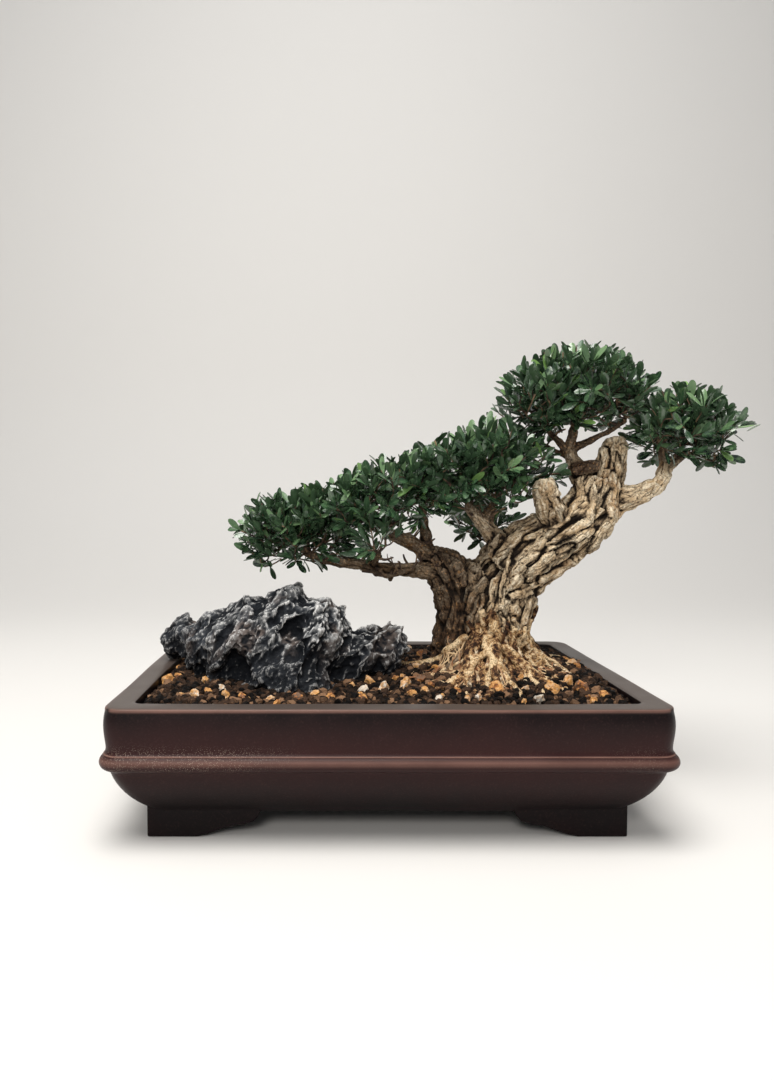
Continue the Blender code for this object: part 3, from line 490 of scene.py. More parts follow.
def averaged(piece, values, rounds, own=0.0):
    """Values at the points of a piece, averaged with their neighbours' for some rounds."""
    count = len(piece.data.vertices)
    ends = np.empty(len(piece.data.edges) * 2, int)
    piece.data.edges.foreach_get("vertices", ends)
    near, far = ends.reshape(-1, 2).T
    degree = np.bincount(near, minlength=count) + np.bincount(far, minlength=count) + own
    for _ in range(rounds):
        others = np.bincount(near, values[far], count) + np.bincount(far, values[near], count)
        values = (own * values + others) / degree
    return values


def mark_crests(piece, rounds, name="crest"):
    """Stores how far each point stands out of the smoothed surface, in millimetres."""
    points = points_of(piece)
    soft = np.stack([averaged(piece, column, rounds) for column in points.T], axis=1)
    store(piece, name, ((points - soft) * normals_of(piece)).sum(axis=1))


def solid_tree(piece):
    """A piece's faces, in millimetres, for rays to hit."""
    faces = [tuple(face.vertices) for face in piece.data.polygons]
    return BVHTree.FromPolygons([tuple(p) for p in points_of(piece)], faces)


def step(value, low, high):
    """0 below low, 1 above high, and smooth between them."""
    share = np.clip((value - low) / (high - low), 0.0, 1.0)
    return share * share * (3.0 - 2.0 * share)


stone = copy_of_node("stone", "landscape_stone")
remesh(stone, STONE_VOXEL, 3)
points = points_of(stone)
across = points[:, 0] * math.sin(STONE_SLANT) - points[:, 2] * math.cos(STONE_SLANT)
along = points[:, 0] * math.cos(STONE_SLANT) + points[:, 2] * math.sin(STONE_SLANT)
slanted = np.stack([across, points[:, 1], along], axis=1)
relief = np.zeros(len(points))
# Without a seed of its own, noise_vector differs from run to run.
noise.seed_set(STONE_SEED)
for index, (kind, sizes, depth) in enumerate(STONE_LAYERS):
    for row, spot in enumerate(slanted / sizes + 7.0 * index):
        # The layers are pulled about, so that no ridge runs straight.
        spot = Vector(spot) + 0.35 * noise.noise_vector(Vector(spot) * 0.8)
        if kind == "rib":
            value = 0.45 - 1.9 * abs(noise.noise(spot))
        elif kind == "ridged":
            value = noise.ridged_multi_fractal(spot, 0.95, 2.1, 3, 1.0, 2.0) - 1.1
        elif kind == "crag":
            nearest, second = noise.voronoi(spot)[0][:2]
            value = min(second - nearest, 0.4) - 0.6 * nearest
        else:
            nearest = noise.voronoi(spot)[0][0]
            value = -max(0.0, 0.36 - nearest) * 2.4
        relief[row] += depth * value
move_points(stone, points + normals_of(stone) * (relief - 0.3)[:, None])

INK_STONE = (0.0045, 0.006, 0.009)
BLUE_STONE = (0.024, 0.029, 0.037)
PALE_STONE = (0.4, 0.405, 0.405)
VEIN_STONE = (0.72, 0.71, 0.69)
WARM_STONE = (0.23, 0.175, 0.145)
rock = Finish("landscape_stone", INK_STONE)
crest = rock.attribute("crest")
swell = rock.attribute("swell")
wear_and_painted_light = rock.weather(crest, 70.0, 620.0, 1100.0)
turning = {"Vector": rock.place, "Rotation": (0.0, STONE_SLANT, 0.0), "Scale": (1.0, 1.0, 0.4)}
turned = rock.add("Mapping", turning).outputs[0]
streaks = rock.noise(320.0, 8.0, turned, 0.75)
rock.wash(BLUE_STONE, wear_and_painted_light["Cloud"], 0.35, 0.65)
rock.wash(WARM_STONE, rock.noise(42.0, 4.0), 0.52, 0.64, 0.5)
# What stands proud is rubbed pale, and calcite lines its sharpest edges in white, both most on the upper
# part, which is painted paler as painted light from above.
width, _, height = rock.add("SeparateXYZ", {0: rock.place}).outputs
block_side = rock.span(width, POT_X - 0.07, POT_X - 0.03, 0.0, 1.1)
painted_top_light = rock.times(rock.span(height, 0.08, 0.108), rock.plus(block_side, 0.8))
left_lobe = rock.span(width, POT_X - 0.108, POT_X - 0.122)
painted_top_light = rock.times(painted_top_light, rock.span(left_lobe, 0.0, 1.0, 1.0, 0.3))
proud = rock.times(rock.span(swell, -0.4, 1.0, 0.0, 0.76), rock.span(streaks, 0.42, 0.6, 0.25, 1.0))
rock.lay(PALE_STONE, rock.times(proud, painted_top_light))
# Towards the soil the stone is painted near-black: painted shade.
rock.wash(INK_STONE, height, 0.1, 0.08, 0.8)
fine = rock.noise(1300.0, 6.0, turned, 0.7)
edges = rock.times(rock.span(crest, 0.06, 0.36), rock.span(fine, 0.42, 0.58))
rock.lay(VEIN_STONE, rock.times(edges, rock.plus(rock.times(painted_top_light, 0.6), 0.34)))
# Hollows and creases are painted near-black: painted shade.
rock.wash(INK_STONE, swell, 0.1, -1.2, 0.92)
rock.wash(INK_STONE, crest, -0.08, -0.4, 0.85)
rough = rock.plus(rock.times(wear_and_painted_light["Grain"], 0.8), rock.times(streaks, 1.2))
rock.close(rock.span(wear_and_painted_light["Grain"], 0.3, 0.7, 0.55, 0.85), (0.9, 0.0009, rough), 0.22)

mark_crests(stone, 5)
mark_crests(stone, 40, "swell")
stone_tree = solid_tree(stone)
dress(stone, rock)
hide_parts("stone")
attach(stone, "root")

# Trunk, branches and surface roots
# Old boxwood: two fused trunks lean right from a flare of fused roots, and carry the branches.
# The bark is corky and pale, split into long plates by dark cracks, and browner on the left trunk.

LIMBS = {
    "right_trunk": [
        ((75, -6, 64), 26), ((75, -6, 78), 23.5), ((76, -5, 90), 19.5), ((77, -4, 101), 17.6),
        ((80, -3, 114), 17.3), ((85, -2, 128.5), 18.3), ((93, -2, 142), 19), ((106, -2, 152.5), 19),
        ((119.5, -2, 162), 19), ((131.5, -2, 172.5), 17.5), ((137.5, 0, 185), 15.5), ((140, 2, 193), 12.5),
    ],
    "left_trunk": [
        ((56, 4, 64), 22), ((54, 4, 79), 19), ((53, 4, 97), 15.4), ((52, 4, 114), 14.2),
        ((49, 4, 129), 15), ((43, 4, 140), 13.2),
    ],
    "shoulder": [((76, -2, 140), 14), ((88, -2, 153), 12.5), ((101, -2, 162), 11.5), ((114, -2, 171), 10)],
    "crotch": [((64, 0, 96), 15), ((63, 0, 118), 14.5), ((63, 1, 134), 12), ((66, 1, 140), 9)],
    "stump": [
        ((143, 4, 186), 12.5), ((149, 4, 200), 9.6), ((152, 4, 213), 8.4), ((152.5, 4, 219), 7.6),
        ((152, 4, 222.5), 5.0),
    ],
    "sawn_branch": [((124, -3, 201), 4.6), ((130, -7, 204.5), 4.0), ((138, -9, 204), 3.2)],
    "left_foot": [((51, 2, 96), 9), ((43, 0, 83), 7.5), ((33, -3, 75), 5), ((22, -8, 69), 3)],
    "left_front_foot": [((53, -3, 96), 9.5), ((47, -13, 83), 7), ((40, -24, 76), 4.6), ((32, -33, 69), 3)],
    "left_low_loop": [
        ((-12, -12, 143), 2.2), ((-7, -14, 140.5), 1.7), ((-1, -15, 136.4), 1.7), ((5, -15, 134.8), 1.9),
        ((12, -13, 137), 1.8), ((21, -9, 139), 1.8),
    ],
    "crown_leader": [
        ((134, 0, 186), 9.5), ((129, 1, 200), 5.6), ((125.5, 2, 208), 4.2), ((122, 3, 214), 3.8),
        ((125, 4, 226), 3.0), ((127, 2, 242), 2.0),
    ],
    "crown_left_twig": [((123, 3, 213), 2.8), ((113, 1, 222), 2.0), ((101, -2, 233), 1.4)],
    "crown_low_twig": [((125, 3, 210), 2.3), ((112, 7, 214), 1.6), ((99, 12, 226), 1.2)],
    "crown_right_twig": [((123, 3, 215), 2.8), ((138, 1, 221), 2.1), ((156, -1, 232), 1.4)],
    "right_branch": [
        ((138, -2, 175), 11), ((153, -4, 181.5), 7.4), ((165, -6, 186.6), 6.2), ((173.5, -8, 191), 5.6),
        ((178.5, -8, 197), 4.8), ((180, -7, 203.5), 4.2), ((187, -6, 208), 3.4), ((194, -5, 213), 2.7),
        ((197, -5, 224), 1.9),
    ],
    "right_twig": [((180, -7, 203), 3.4), ((179, -6, 212), 2.6), ((177, -5, 224), 1.8)],
    "left_low_branch": [
        ((47, 2, 134), 10.5), ((38, 0, 137), 6.8), ((26, -4, 139), 4.7), ((13, -8, 138.6), 4.1),
        ((-1, -10, 140.6), 3.7), ((-15, -12, 143.4), 3.4), ((-31, -12, 144.8), 3.1), ((-42, -10, 147), 2.8),
        ((-50, -8, 154), 2.3), ((-56, -8, 166), 1.7),
    ],
    "left_low_spur": [((8, -9, 138.5), 2.8), ((6.5, -9, 131.5), 1.6)],
    "left_low_twig": [((-4, -11, 141.5), 2.6), ((-2, -20, 146), 2), ((-1, -27, 151), 1.5)],
    "left_tip_twig": [((-52, -8, 157), 2.4), ((-62, -8, 160), 1.9), ((-72, -8, 164), 1.4)],
    "left_branch": [
        ((45, 4, 139), 12), ((35, 3, 147), 7.0), ((25.6, 2, 154), 4.9), ((14, 0, 158.5), 4.0),
        ((2, -2, 163), 3.3), ((-7, -4, 171), 2.8), ((-12, -6, 181), 1.9),
    ],
    "left_upper_branch": [((33, 3, 149), 4.9), ((30, 5, 162), 3.4), ((29, 3, 174), 2.8), ((27, 0, 190), 2)],
    "centre_branch": [
        ((80, -2, 150), 8.5), ((72, -5, 163), 5.6), ((64, -7, 170), 4.4), ((57, -8, 177), 3.6),
        ((56, -7, 187), 2.8), ((60, -6, 197), 1.9),
    ],
    "centre_inner_twig": [((66, -7, 169), 3.6), ((75, -5, 182), 2.7), ((82, 0, 200), 1.8)],
    "knob": [
        ((114, -8, 165), 9.5), ((108, -13, 174), 8), ((104, -16, 182), 8.8), ((103, -17, 190), 7.2),
        ((102, -17, 195), 4.6),
    ],
    "back_branch": [
        ((100, 6, 150), 9), ((91, 24, 155), 6), ((83, 40, 157), 4.4), ((77, 52, 160), 3.2),
        ((73, 58, 167), 2),
    ],
}
BASE_CENTRE = (67.0, -2.0)
# The ridges of the bark and the fused roots as they are seen from the front: each is a line of spots
# (x, z, radius) in the plane in front of the trunk, and is laid on the wood behind it.
RIDGES = [
    (
        (125, 198.7, 3.1), (124.5, 185.2, 3.7), (119.7, 177.1, 3.7), (115.5, 169.7, 3.4),
        (105, 164.8, 3.1), (95.2, 159.2, 3.1), (85.9, 156.1, 3.1),
    ),
    (
        (129.9, 196.3, 3.1), (130.7, 182.7, 4.3), (128.4, 173.4, 4.6), (122.3, 166.6, 4.3),
        (115.6, 161.1, 4.3), (107.6, 156.7, 4), (98.9, 153, 3.1),
    ),
    (
        (120.6, 157.4, 3.7), (113.2, 153.6, 4.6), (105.8, 149.9, 4.9), (99, 144.3, 4.9),
        (92.9, 139.4, 4.6), (88, 133.8, 3.7),
    ),
    (
        (125.6, 150.5, 3.1), (119.4, 147.4, 3.7), (112.7, 143.7, 4.3), (105.9, 139.4, 4.3),
        (99.8, 135, 3.7), (93.6, 129.4, 3.1),
    ),
    (
        (141.6, 198.7, 4.3), (141.2, 185.2, 4.9), (140.1, 175.3, 5.6), (136.5, 166, 5.9),
        (131.1, 158.6, 5.6), (125.6, 152.4, 4.3),
    ),
    (
        (84.7, 151.2, 3.7), (81, 148.1, 3.7), (75.5, 142.5, 4), (70.6, 138.1, 3.7), (66.9, 131.9, 3.7),
        (64.5, 125.1, 3.1), (62.1, 118.2, 2.5),
    ),
    ((79.8, 144.3, 2.5), (78, 136.9, 2.8), (76.2, 130, 2.5), (75.1, 122.6, 2.2)),
    ((76.3, 120.7, 3.1), (81.9, 124.4, 4.9), (88.7, 128.2, 5.6), (94.8, 130.7, 4.3), (99.2, 131.9, 2.5)),
    ((66.2, 140.6, 3.1), (62, 129.4, 3.7), (57.1, 122, 3.7), (54.7, 113.2, 3.1)),
    ((73.5, 159.2, 3.7), (68.6, 152.4, 4.3), (62.5, 143.7, 4.3), (58.8, 137.5, 3.7)),
    ((91.8, 122, 3.1), (90.7, 114.5, 3.7), (88.3, 105.7, 3.1)),
    ((137.7, 214.1, 2.6), (137.9, 203.6, 3.1), (136.7, 195, 3.1)),
    ((145.1, 213.5, 2.6), (145.3, 202.4, 3.1), (144.2, 192.6, 3.1)),
    (
        (64.6, 118.2, 1.9), (64.9, 109.5, 2.5), (61.6, 101.4, 2.5), (59.1, 93.2, 2.8), (58.6, 81.3, 3.1),
        (56.2, 67.5, 3.1),
    ),
    (
        (70.1, 117.6, 2.2), (69, 107, 2.8), (73.4, 97.6, 2.5), (71, 89.5, 2.5), (68.6, 80.7, 3.1),
        (63.7, 71.3, 3.7), (55.6, 65, 3.7),
    ),
    ((74.5, 113.2, 1.9), (78.4, 100.7, 2.2), (85.3, 88.2, 1.9), (90.4, 75.7, 1.5), (94.3, 60.6, 1.1)),
    ((82.6, 109.5, 2.5), (87.7, 99.5, 2.5), (94.7, 86.3, 2.2), (102.9, 75.7, 1.5), (109.8, 68.1, 0.9)),
    ((65.8, 113.2, 1.9), (56, 95.7, 2.5), (50.5, 87.6, 2.5), (41.8, 78.2, 2.2), (36.2, 71.9, 1.2)),
    ((76.5, 103.2, 1.9), (79.7, 90.7, 2.2), (77.3, 78.2, 2.5), (73, 68.1, 2.5), (70, 61.9, 1.2)),
    ((87, 105.7, 1.9), (95.9, 90.7, 1.9), (107.2, 80.7, 1.5), (121, 73.2, 1)),
]
RIDGE_PLANE = -18.0
RIDGE_SINK = 0.55
# These ridges are broad flat plates of bark, not rounded roots.
FLAT_RIDGES = (0, 1, 2, 3, 4, 5, 7, 11, 12)
FLAT_SINK = 0.84
FLAT_WIDTH = 1.22
# Both ends of a flat plate dive under the bark by this much more.
END_DIVE = 0.55
# Between the fused roots the wood lies this much deeper, from the soil up to where they part.
HOLLOW = 4.6
HOLLOW_TOP = 104.0
# Surface roots: direction round the base in degrees, reach and thickness.
ROOTS = [
    (-114, 54, 3.9), (-90, 58, 3.8), (-58, 50, 3.0), (-18, 46, 3.6), (26, 40, 4.8),
    (70, 42, 4.8), (118, 42, 4.8), (170, 34, 4.8), (-146, 38, 4.8),
]
ROOT_HEAD = (0.16, 96.0, 1.4)
ROOT_STATIONS = [(0.5, 4.0, 1.35), (0.8, 0.6, 1.0), (1.0, -2.5, 0.7), (1.2, -7.0, 0.45)]
SOIL_Z = 71.6
MOUND_HEIGHT = 11.5
MOUND_CENTRE = (74.0, 2.0)
MOUND_SPREAD = (62.0, 50.0)
WOOD_VOXEL = 0.72
WOOD_FACES = 196000


def soil_height(x, y):
    """The level of the soil: mounded round the trunk, and a little uneven."""
    dx = (x - MOUND_CENTRE[0]) / MOUND_SPREAD[0]
    dy = (y - MOUND_CENTRE[1]) / MOUND_SPREAD[1]
    ripple = noise.noise(Vector((x / 17.0, y / 17.0, 3.0)))
    return SOIL_Z + MOUND_HEIGHT * math.exp(-dx * dx - dy * dy) + 0.9 * ripple


def root_stations(angle, reach, thickness, wander=0.0, head=ROOT_HEAD):
    """A root's stations: it leaves the trunk high, runs down on to the soil and dips under it."""
    share, head_z, width = head
    stations = []
    for step_share, lift, girth in [(share, None, width)] + ROOT_STATIONS:
        turn = math.radians(angle + wander * math.sin(9.0 * step_share))
        x = BASE_CENTRE[0] + reach * step_share * math.cos(turn)
        y = BASE_CENTRE[1] + reach * step_share * math.sin(turn)
        z = head_z if lift is None else soil_height(x, y) + lift
        stations.append(((x, y, z), thickness * girth))
    return stations


def curve_through(name, runs, sides):
    """One mesh of round rods: each run is a list of stations, as place and radius."""
    clear_selection()
    bpy.ops.curve.primitive_bezier_curve_add()
    rod = bpy.context.object
    rod.name = name
    rod.data.splines.clear()
    rod.data.bevel_depth = MM
    rod.data.bevel_resolution = sides
    rod.data.use_fill_caps = True
    rod.data.resolution_u = 4
    for stations in runs:
        spline = rod.data.splines.new("NURBS")
        spline.points.add(len(stations) - 1)
        for point, (place, radius) in zip(spline.points, stations):
            point.co = (*[c * MM for c in place], 1.0)
            point.radius = radius
        spline.order_u = 3
        spline.use_endpoint_u = True
    bpy.ops.object.convert(target="MESH")
    edit_all()
    bpy.ops.mesh.remove_doubles(threshold=0.005 * MM)
    bpy.ops.mesh.normals_make_consistent(inside=False)
    bpy.ops.object.mode_set(mode="OBJECT")
    return bpy.context.object


# Where the photograph was taken from, which the ridges and the outlines of the foliage are seen from.
EYE = (-30.8, -519.4, 178.5)
# How far behind the plane a ridge may lie, and how far before that the soil is looked for.
PAST_PLANE = 14.0
SEARCH_DEPTH = 70.0


def on_face(x, z, tree, face):
    """The point of the wood or the soil that shows at a spot of the plane before the trunk, or behind it."""
    eye = Vector((EYE[0], EYE[1] * face, EYE[2]))
    way = Vector((x, RIDGE_PLANE * face, z)) - eye
    limit = way.length + PAST_PLANE
    way.normalize()
    reach = limit - SEARCH_DEPTH
    while reach < limit:
        spot = eye + way * reach
        if spot.z < soil_height(spot.x, spot.y):
            break
        reach += 0.5
    hit = tree.ray_cast(eye, way)[3]
    return eye + way * min(reach, hit or limit), way


draw = random.Random(11)
roots = [root_stations(*root) for root in ROOTS]
guide = curve_through("guide", list(LIMBS.values()) + roots, 5)
core = BVHTree.FromPolygons(
    [tuple(v.co / MM) for v in guide.data.vertices], [tuple(f.vertices) for f in guide.data.polygons]
)
bpy.data.objects.remove(guide, do_unlink=True)
ridges = []
for face in (1, -1):
    for number, line in enumerate(RIDGES):
        flat = number in FLAT_RIDGES
        stations = []
        spots = list(line)
        for k, ((x, z, radius), (next_x, next_z, next_radius)) in enumerate(zip(line, line[1:])):
            # Between the traced spots the ridge wanders and changes its girth a little.
            middle = ((x + next_x) / 2 + draw.gauss(0, 0.8), (z + next_z) / 2, (radius + next_radius) / 2)
            spots.insert(2 * k + 1, (middle[0], middle[1], middle[2] * draw.uniform(0.72, 1.15)))
        for k, (x, z, radius) in enumerate(spots):
            if face < 0:
                x += draw.gauss(0, 1.0)
            radius *= FLAT_WIDTH if flat else 1.0
            spot, way = on_face(x, z, core, face)
            sink = FLAT_SINK if flat else RIDGE_SINK
            sink += END_DIVE if flat and k in (0, len(spots) - 1) else 0.0
            stations.append((tuple(spot + way * radius * sink), radius))
        ridges.append(stations)
LIMBS["right_trunk"] = [
    (place, radius - HOLLOW * min(1.0, max(0.0, (HOLLOW_TOP - place[2]) / 12.0)))
    for place, radius in LIMBS["right_trunk"]
]
limbs = list(LIMBS.values()) + roots
wood = curve_through("bonsai_wood", limbs, 5)
ridge_rods = curve_through("ridges", ridges, 4)
only(wood)
ridge_rods.select_set(True)
bpy.ops.object.join()
limbs += ridges
remesh(wood, WOOD_VOXEL, 4)


def limb_places(points, limbs):
    """Where each point lies on its nearest limb: two offsets across it, its distance along it,
    the limb's radius there and the limb's number."""
    best = np.full(len(points), 1e9)
    found = np.zeros((len(points), 5))
    for number, stations in enumerate(limbs):
        side = Vector((0, -1, 0))
        done = 0.0
        for (start, start_radius), (end, end_radius) in zip(stations, stations[1:]):
            run = Vector(end) - Vector(start)
            length = run.length
            run.normalize()
            side = (side - run * side.dot(run)).normalized()
            other = run.cross(side)
            offset = points - np.array(start, float)
            share = np.clip(offset @ np.array(run) / length, 0.0, 1.0)
            away = offset - (share * length)[:, None] * np.array(run)
            radius = start_radius + share * (end_radius - start_radius)
            distance = np.linalg.norm(away, axis=1) - radius
            nearer = distance < best
            best[nearer] = distance[nearer]
            found[nearer, 0] = (away @ np.array(side))[nearer]
            found[nearer, 1] = (away @ np.array(other))[nearer]
            found[nearer, 2] = (done + share * length)[nearer]
            found[nearer, 3] = radius[nearer]
            found[nearer, 4] = number
            done += length
    return found


# Long ridges parted by narrow furrows, at two sizes, and a fine corky grain over them.
points = points_of(wood)
spots = limb_places(points, limbs)
names = list(LIMBS)
LUMPY = [names.index(name) for name in ("left_trunk", "crotch", "left_foot", "left_front_foot", "knob")]
depth = np.empty(len(points))
open_furrow = np.empty(len(points))
for row, (u, v, s, radius, number) in enumerate(spots):
    u += 2.2 * noise.noise(Vector((s / 19.0, number, 0.0)))
    v += 2.2 * noise.noise(Vector((s / 19.0, number, 9.0)))
    wide = abs(noise.noise(Vector((u / 10.0, v / 10.0, s / 42.0))))
    long_furrow = max(0.0, 1.0 - wide / 0.13)
    fine = abs(noise.noise(Vector((u / 4.4, v / 4.4, s / 15.0 + 31.0))))
    short_furrow = max(0.0, 1.0 - fine / 0.15)
    cork = noise.fractal(Vector((u / 1.9, v / 1.9, s / 4.5)), 0.6, 2.0, 3)
    old = min(1.0, radius / 14.0)
    # The bark has split into plates, each a little domed between open cracks.
    nearest, second = noise.voronoi(Vector((u / 5.0, v / 5.0, s / 19.0 + 7.0 * number)))[0][:2]
    crack = max(0.0, 1.0 - (second - nearest) / 0.13)
    crack *= min(1.0, max(0.0, 0.7 + 2.4 * noise.noise(Vector((u / 8.0, v / 8.0, s / 14.0 + 50.0)))))
    # Knots and scars swell the wood, and thin branches are as gnarled as the trunk.
    knot = noise.noise(Vector((u / 7.0, v / 7.0, s / 6.5 + 3.0 * number)))
    lumpy = 2.6 if int(number) in LUMPY else 1.5
    depth[row] = min(0.2 * radius, 3.2) * (2.4 * wide - 0.35) * 0.7 + min(0.32 * radius, lumpy) * knot
    depth[row] -= old * (1.3 * long_furrow ** 1.5 + 0.6 * short_furrow ** 1.5)
    depth[row] -= min(1.0, radius / 4.0) * (0.8 * crack ** 1.3 - 0.3 * min(0.5, second - nearest))
    depth[row] += (0.3 + 0.38 * old) * cork
    open_furrow[row] = max(old * long_furrow ** 1.5, 0.6 * old * short_furrow ** 1.5)
    open_furrow[row] = max(open_furrow[row], 0.6 * min(1.0, radius / 3.5) * crack)
girth = spots[:, 3]
move_points(wood, points + normals_of(wood) * depth[:, None])

# Attributes that the bark reads: how open a crack is, how brown the limb is, with painted shade at the heart
# of the flare, how rooty the place is.
BROWN = {
    "sawn_branch": 0.95, "left_low_loop": 0.85, "stump": 0.2, "left_foot": 0.85, "left_front_foot": 0.7,
    "left_trunk": 0.85, "crotch": 0.6, "left_low_branch": 0.7, "left_low_spur": 0.7, "left_low_twig": 0.9,
    "left_tip_twig": 0.9, "left_branch": 0.8, "left_upper_branch": 0.8, "centre_branch": 0.45,
    "centre_inner_twig": 0.85, "crown_leader": 0.55, "crown_left_twig": 0.95, "crown_low_twig": 0.95,
    "crown_right_twig": 0.95, "knob": 0.22, "right_twig": 0.85, "back_branch": 0.7, "shoulder": 0.12,
}
# The limb numbers run on from the limbs to the roots, and then to the ridges.
brown_of = np.array([BROWN.get(name, 0.0) for name in names] + [0.0] * (len(roots) + len(ridges)))
for face in (0, 1):
    for ridge in (8, 9):
        brown_of[len(names) + len(roots) + face * len(RIDGES) + ridge] = 0.6
numbers = spots[:, 4].astype(int)
brown_and_shade = brown_of[numbers]
tip_brown = step(girth, 5.0, 3.0) * (numbers < len(names))
brown_and_shade = np.maximum(brown_and_shade, 0.9 * tip_brown)
rooty = ((numbers >= len(names)) & (numbers < len(names) + len(roots))).astype(float)
rooty = np.maximum(rooty, step(points[:, 2], 124.0, 98.0))
left_side = step(points[:, 0], 56.0, 44.0) * step(points[:, 2], 104.0, 90.0)
brown_and_shade = np.maximum(brown_and_shade, 0.75 * left_side)
# The heart of the flare, behind the roots that run down it, is painted dark: painted shade between the
# roots.
shaded_heart = (numbers < len(names) + len(roots)) * step(points[:, 2], 110.0, 97.0)
brown_and_shade = np.maximum(brown_and_shade, 0.92 * shaded_heart)

store(wood, "furrow", open_furrow)
store(wood, "brown_and_shade", averaged(wood, brown_and_shade, 10, 1.0))
store(wood, "rooty", averaged(wood, rooty, 10, 1.0))
along = wood.data.attributes.new("along", "FLOAT_VECTOR", "POINT")
spots[:, 2] += spots[:, 4] * 37.0
along.data.foreach_set("vector", (spots[:, :3] * MM).astype(np.float32).reshape(-1))
mark_crests(wood, 6)
mark_crests(wood, 45, "swell")
# Fewer faces, where the wood is plain.
thin = wood.modifiers.new("Fewer faces", "DECIMATE")
thin.ratio = min(1.0, WOOD_FACES / (2.0 * len(wood.data.polygons)))
apply_all(wood)

CRACK_BARK = (0.012, 0.008, 0.0055)
BLEACHED_HIGHLIGHT_BARK = (0.92, 0.8, 0.6)
PALE_BARK = (0.76, 0.59, 0.385)
TAN_BARK = (0.52, 0.36, 0.2)
GREY_BARK = (0.24, 0.18, 0.12)
RUST_BARK = (0.42, 0.2, 0.065)
BROWN_BARK = (0.075, 0.042, 0.024)
DARK_BARK = (0.027, 0.0122, 0.0078)
TWIG_BARK = (0.078, 0.0355, 0.02)
ROOT_BARK = (0.74, 0.5, 0.27)
bark = Finish("boxwood_bark", TAN_BARK)
crest = bark.attribute("crest")
swell = bark.attribute("swell")
wear_and_painted_light = bark.weather(crest, 110.0, 750.0, 500.0)
cloud = wear_and_painted_light["Cloud"]
grain = wear_and_painted_light["Grain"]
# Patterns that follow the wood read its own run: two ways across the limb and one along it.
run = bark.add("Attribute", attribute_name="along").outputs["Vector"]
wander = bark.add("TexNoise", {"Vector": bark.place, "Scale": 180.0, "Detail": 2.0}).outputs["Color"]
stirred = {0: wander, 1: (0.005, 0.005, 0.008), 2: run}
run = bark.add("VectorMath", stirred, operation="MULTIPLY_ADD").outputs[0]
long_run = bark.add("Mapping", {"Vector": run, "Scale": (1.0, 1.0, 0.16)}).outputs[0]
plates, blocks = [
    bark.add("TexVoronoi", {"Vector": way, "Scale": scale}, feature="DISTANCE_TO_EDGE").outputs["Distance"]
    for way, scale in ((long_run, 250.0), (run, 420.0))
]
fibres = bark.noise(1100.0, 4.0, long_run)
gaps = bark.times(bark.span(plates, 0.05, 0.0), bark.span(cloud, 0.36, 0.58))
chips = bark.times(bark.span(blocks, 0.06, 0.0), bark.span(cloud, 0.48, 0.62))
bark.wash(PALE_BARK, cloud, 0.3, 0.62)
bark.wash(RUST_BARK, bark.noise(50.0, 3.0), 0.54, 0.66, 0.5)
bark.wash(GREY_BARK, fibres, 0.5, 0.28, 0.7)
rooted = bark.mix(bark.span(cloud, 0.35, 0.6), RUST_BARK, ROOT_BARK)
bark.lay(rooted, bark.times(bark.attribute("rooty"), 0.5))
# The tops of the ridges are bleached and rubbed, and painted paler still as a painted highlight, most where
# they stand furthest out.
bleached_and_highlit = bark.times(bark.span(swell, 0.3, 1.1), bark.span(crest, 0.0, 0.2))
bleached_and_highlit = bark.times(bleached_and_highlit, bark.span(grain, 0.4, 0.62, 0.3, 1.0))
bark.lay(BLEACHED_HIGHLIGHT_BARK, bark.times(bleached_and_highlit, 0.92))
dull = bark.mix(bark.span(cloud, 0.45, 0.7), DARK_BARK, TWIG_BARK)
dull = bark.mix(bark.span(grain, 0.56, 0.68, 0.0, 0.75), dull, RUST_BARK)
dull = bark.mix(bark.times(bleached_and_highlit, 0.22), dull, GREY_BARK)
bark.lay(dull, bark.attribute("brown_and_shade"))
bark.wash(BROWN_BARK, grain, 0.46, 0.3, 0.7)
# Hollows of the wood are painted brown and then near-black: painted shade.
bark.wash(BROWN_BARK, swell, 0.4, -0.35, 0.65)
bark.wash(CRACK_BARK, swell, 0.05, -0.85, 0.95)
# Furrows, plate gaps and chips are the bark's dark cracks; the crevice shade is painted shade.
for mask, most in ((bark.attribute("furrow"), 0.9), (gaps, 0.6), (chips, 0.4), (wear_and_painted_light["Crevice Shade"], 0.9)):
    bark.lay(CRACK_BARK, bark.times(mask, most))
relief = bark.plus(bark.span(plates, 0.0, 0.12, 0.0, 0.8), bark.times(fibres, 0.7))
relief = bark.plus(relief, bark.times(chips, -0.4))
bark.close(bark.span(grain, 0.3, 0.7, 0.78, 0.95), (0.9, 0.0012, relief), 0.15)

wood_tree = solid_tree(wood)
dress(wood, bark)
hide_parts("trunk")
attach(wood, "root")

# Surface roots
# Pale roots as thick as string and twine run down the flare, cross one another and fan out over the soil.
# They cling to the wood behind them, which is painted dark between them: painted shade.

STRAND_COUNT = 96
STRAND_DROP = 2.6
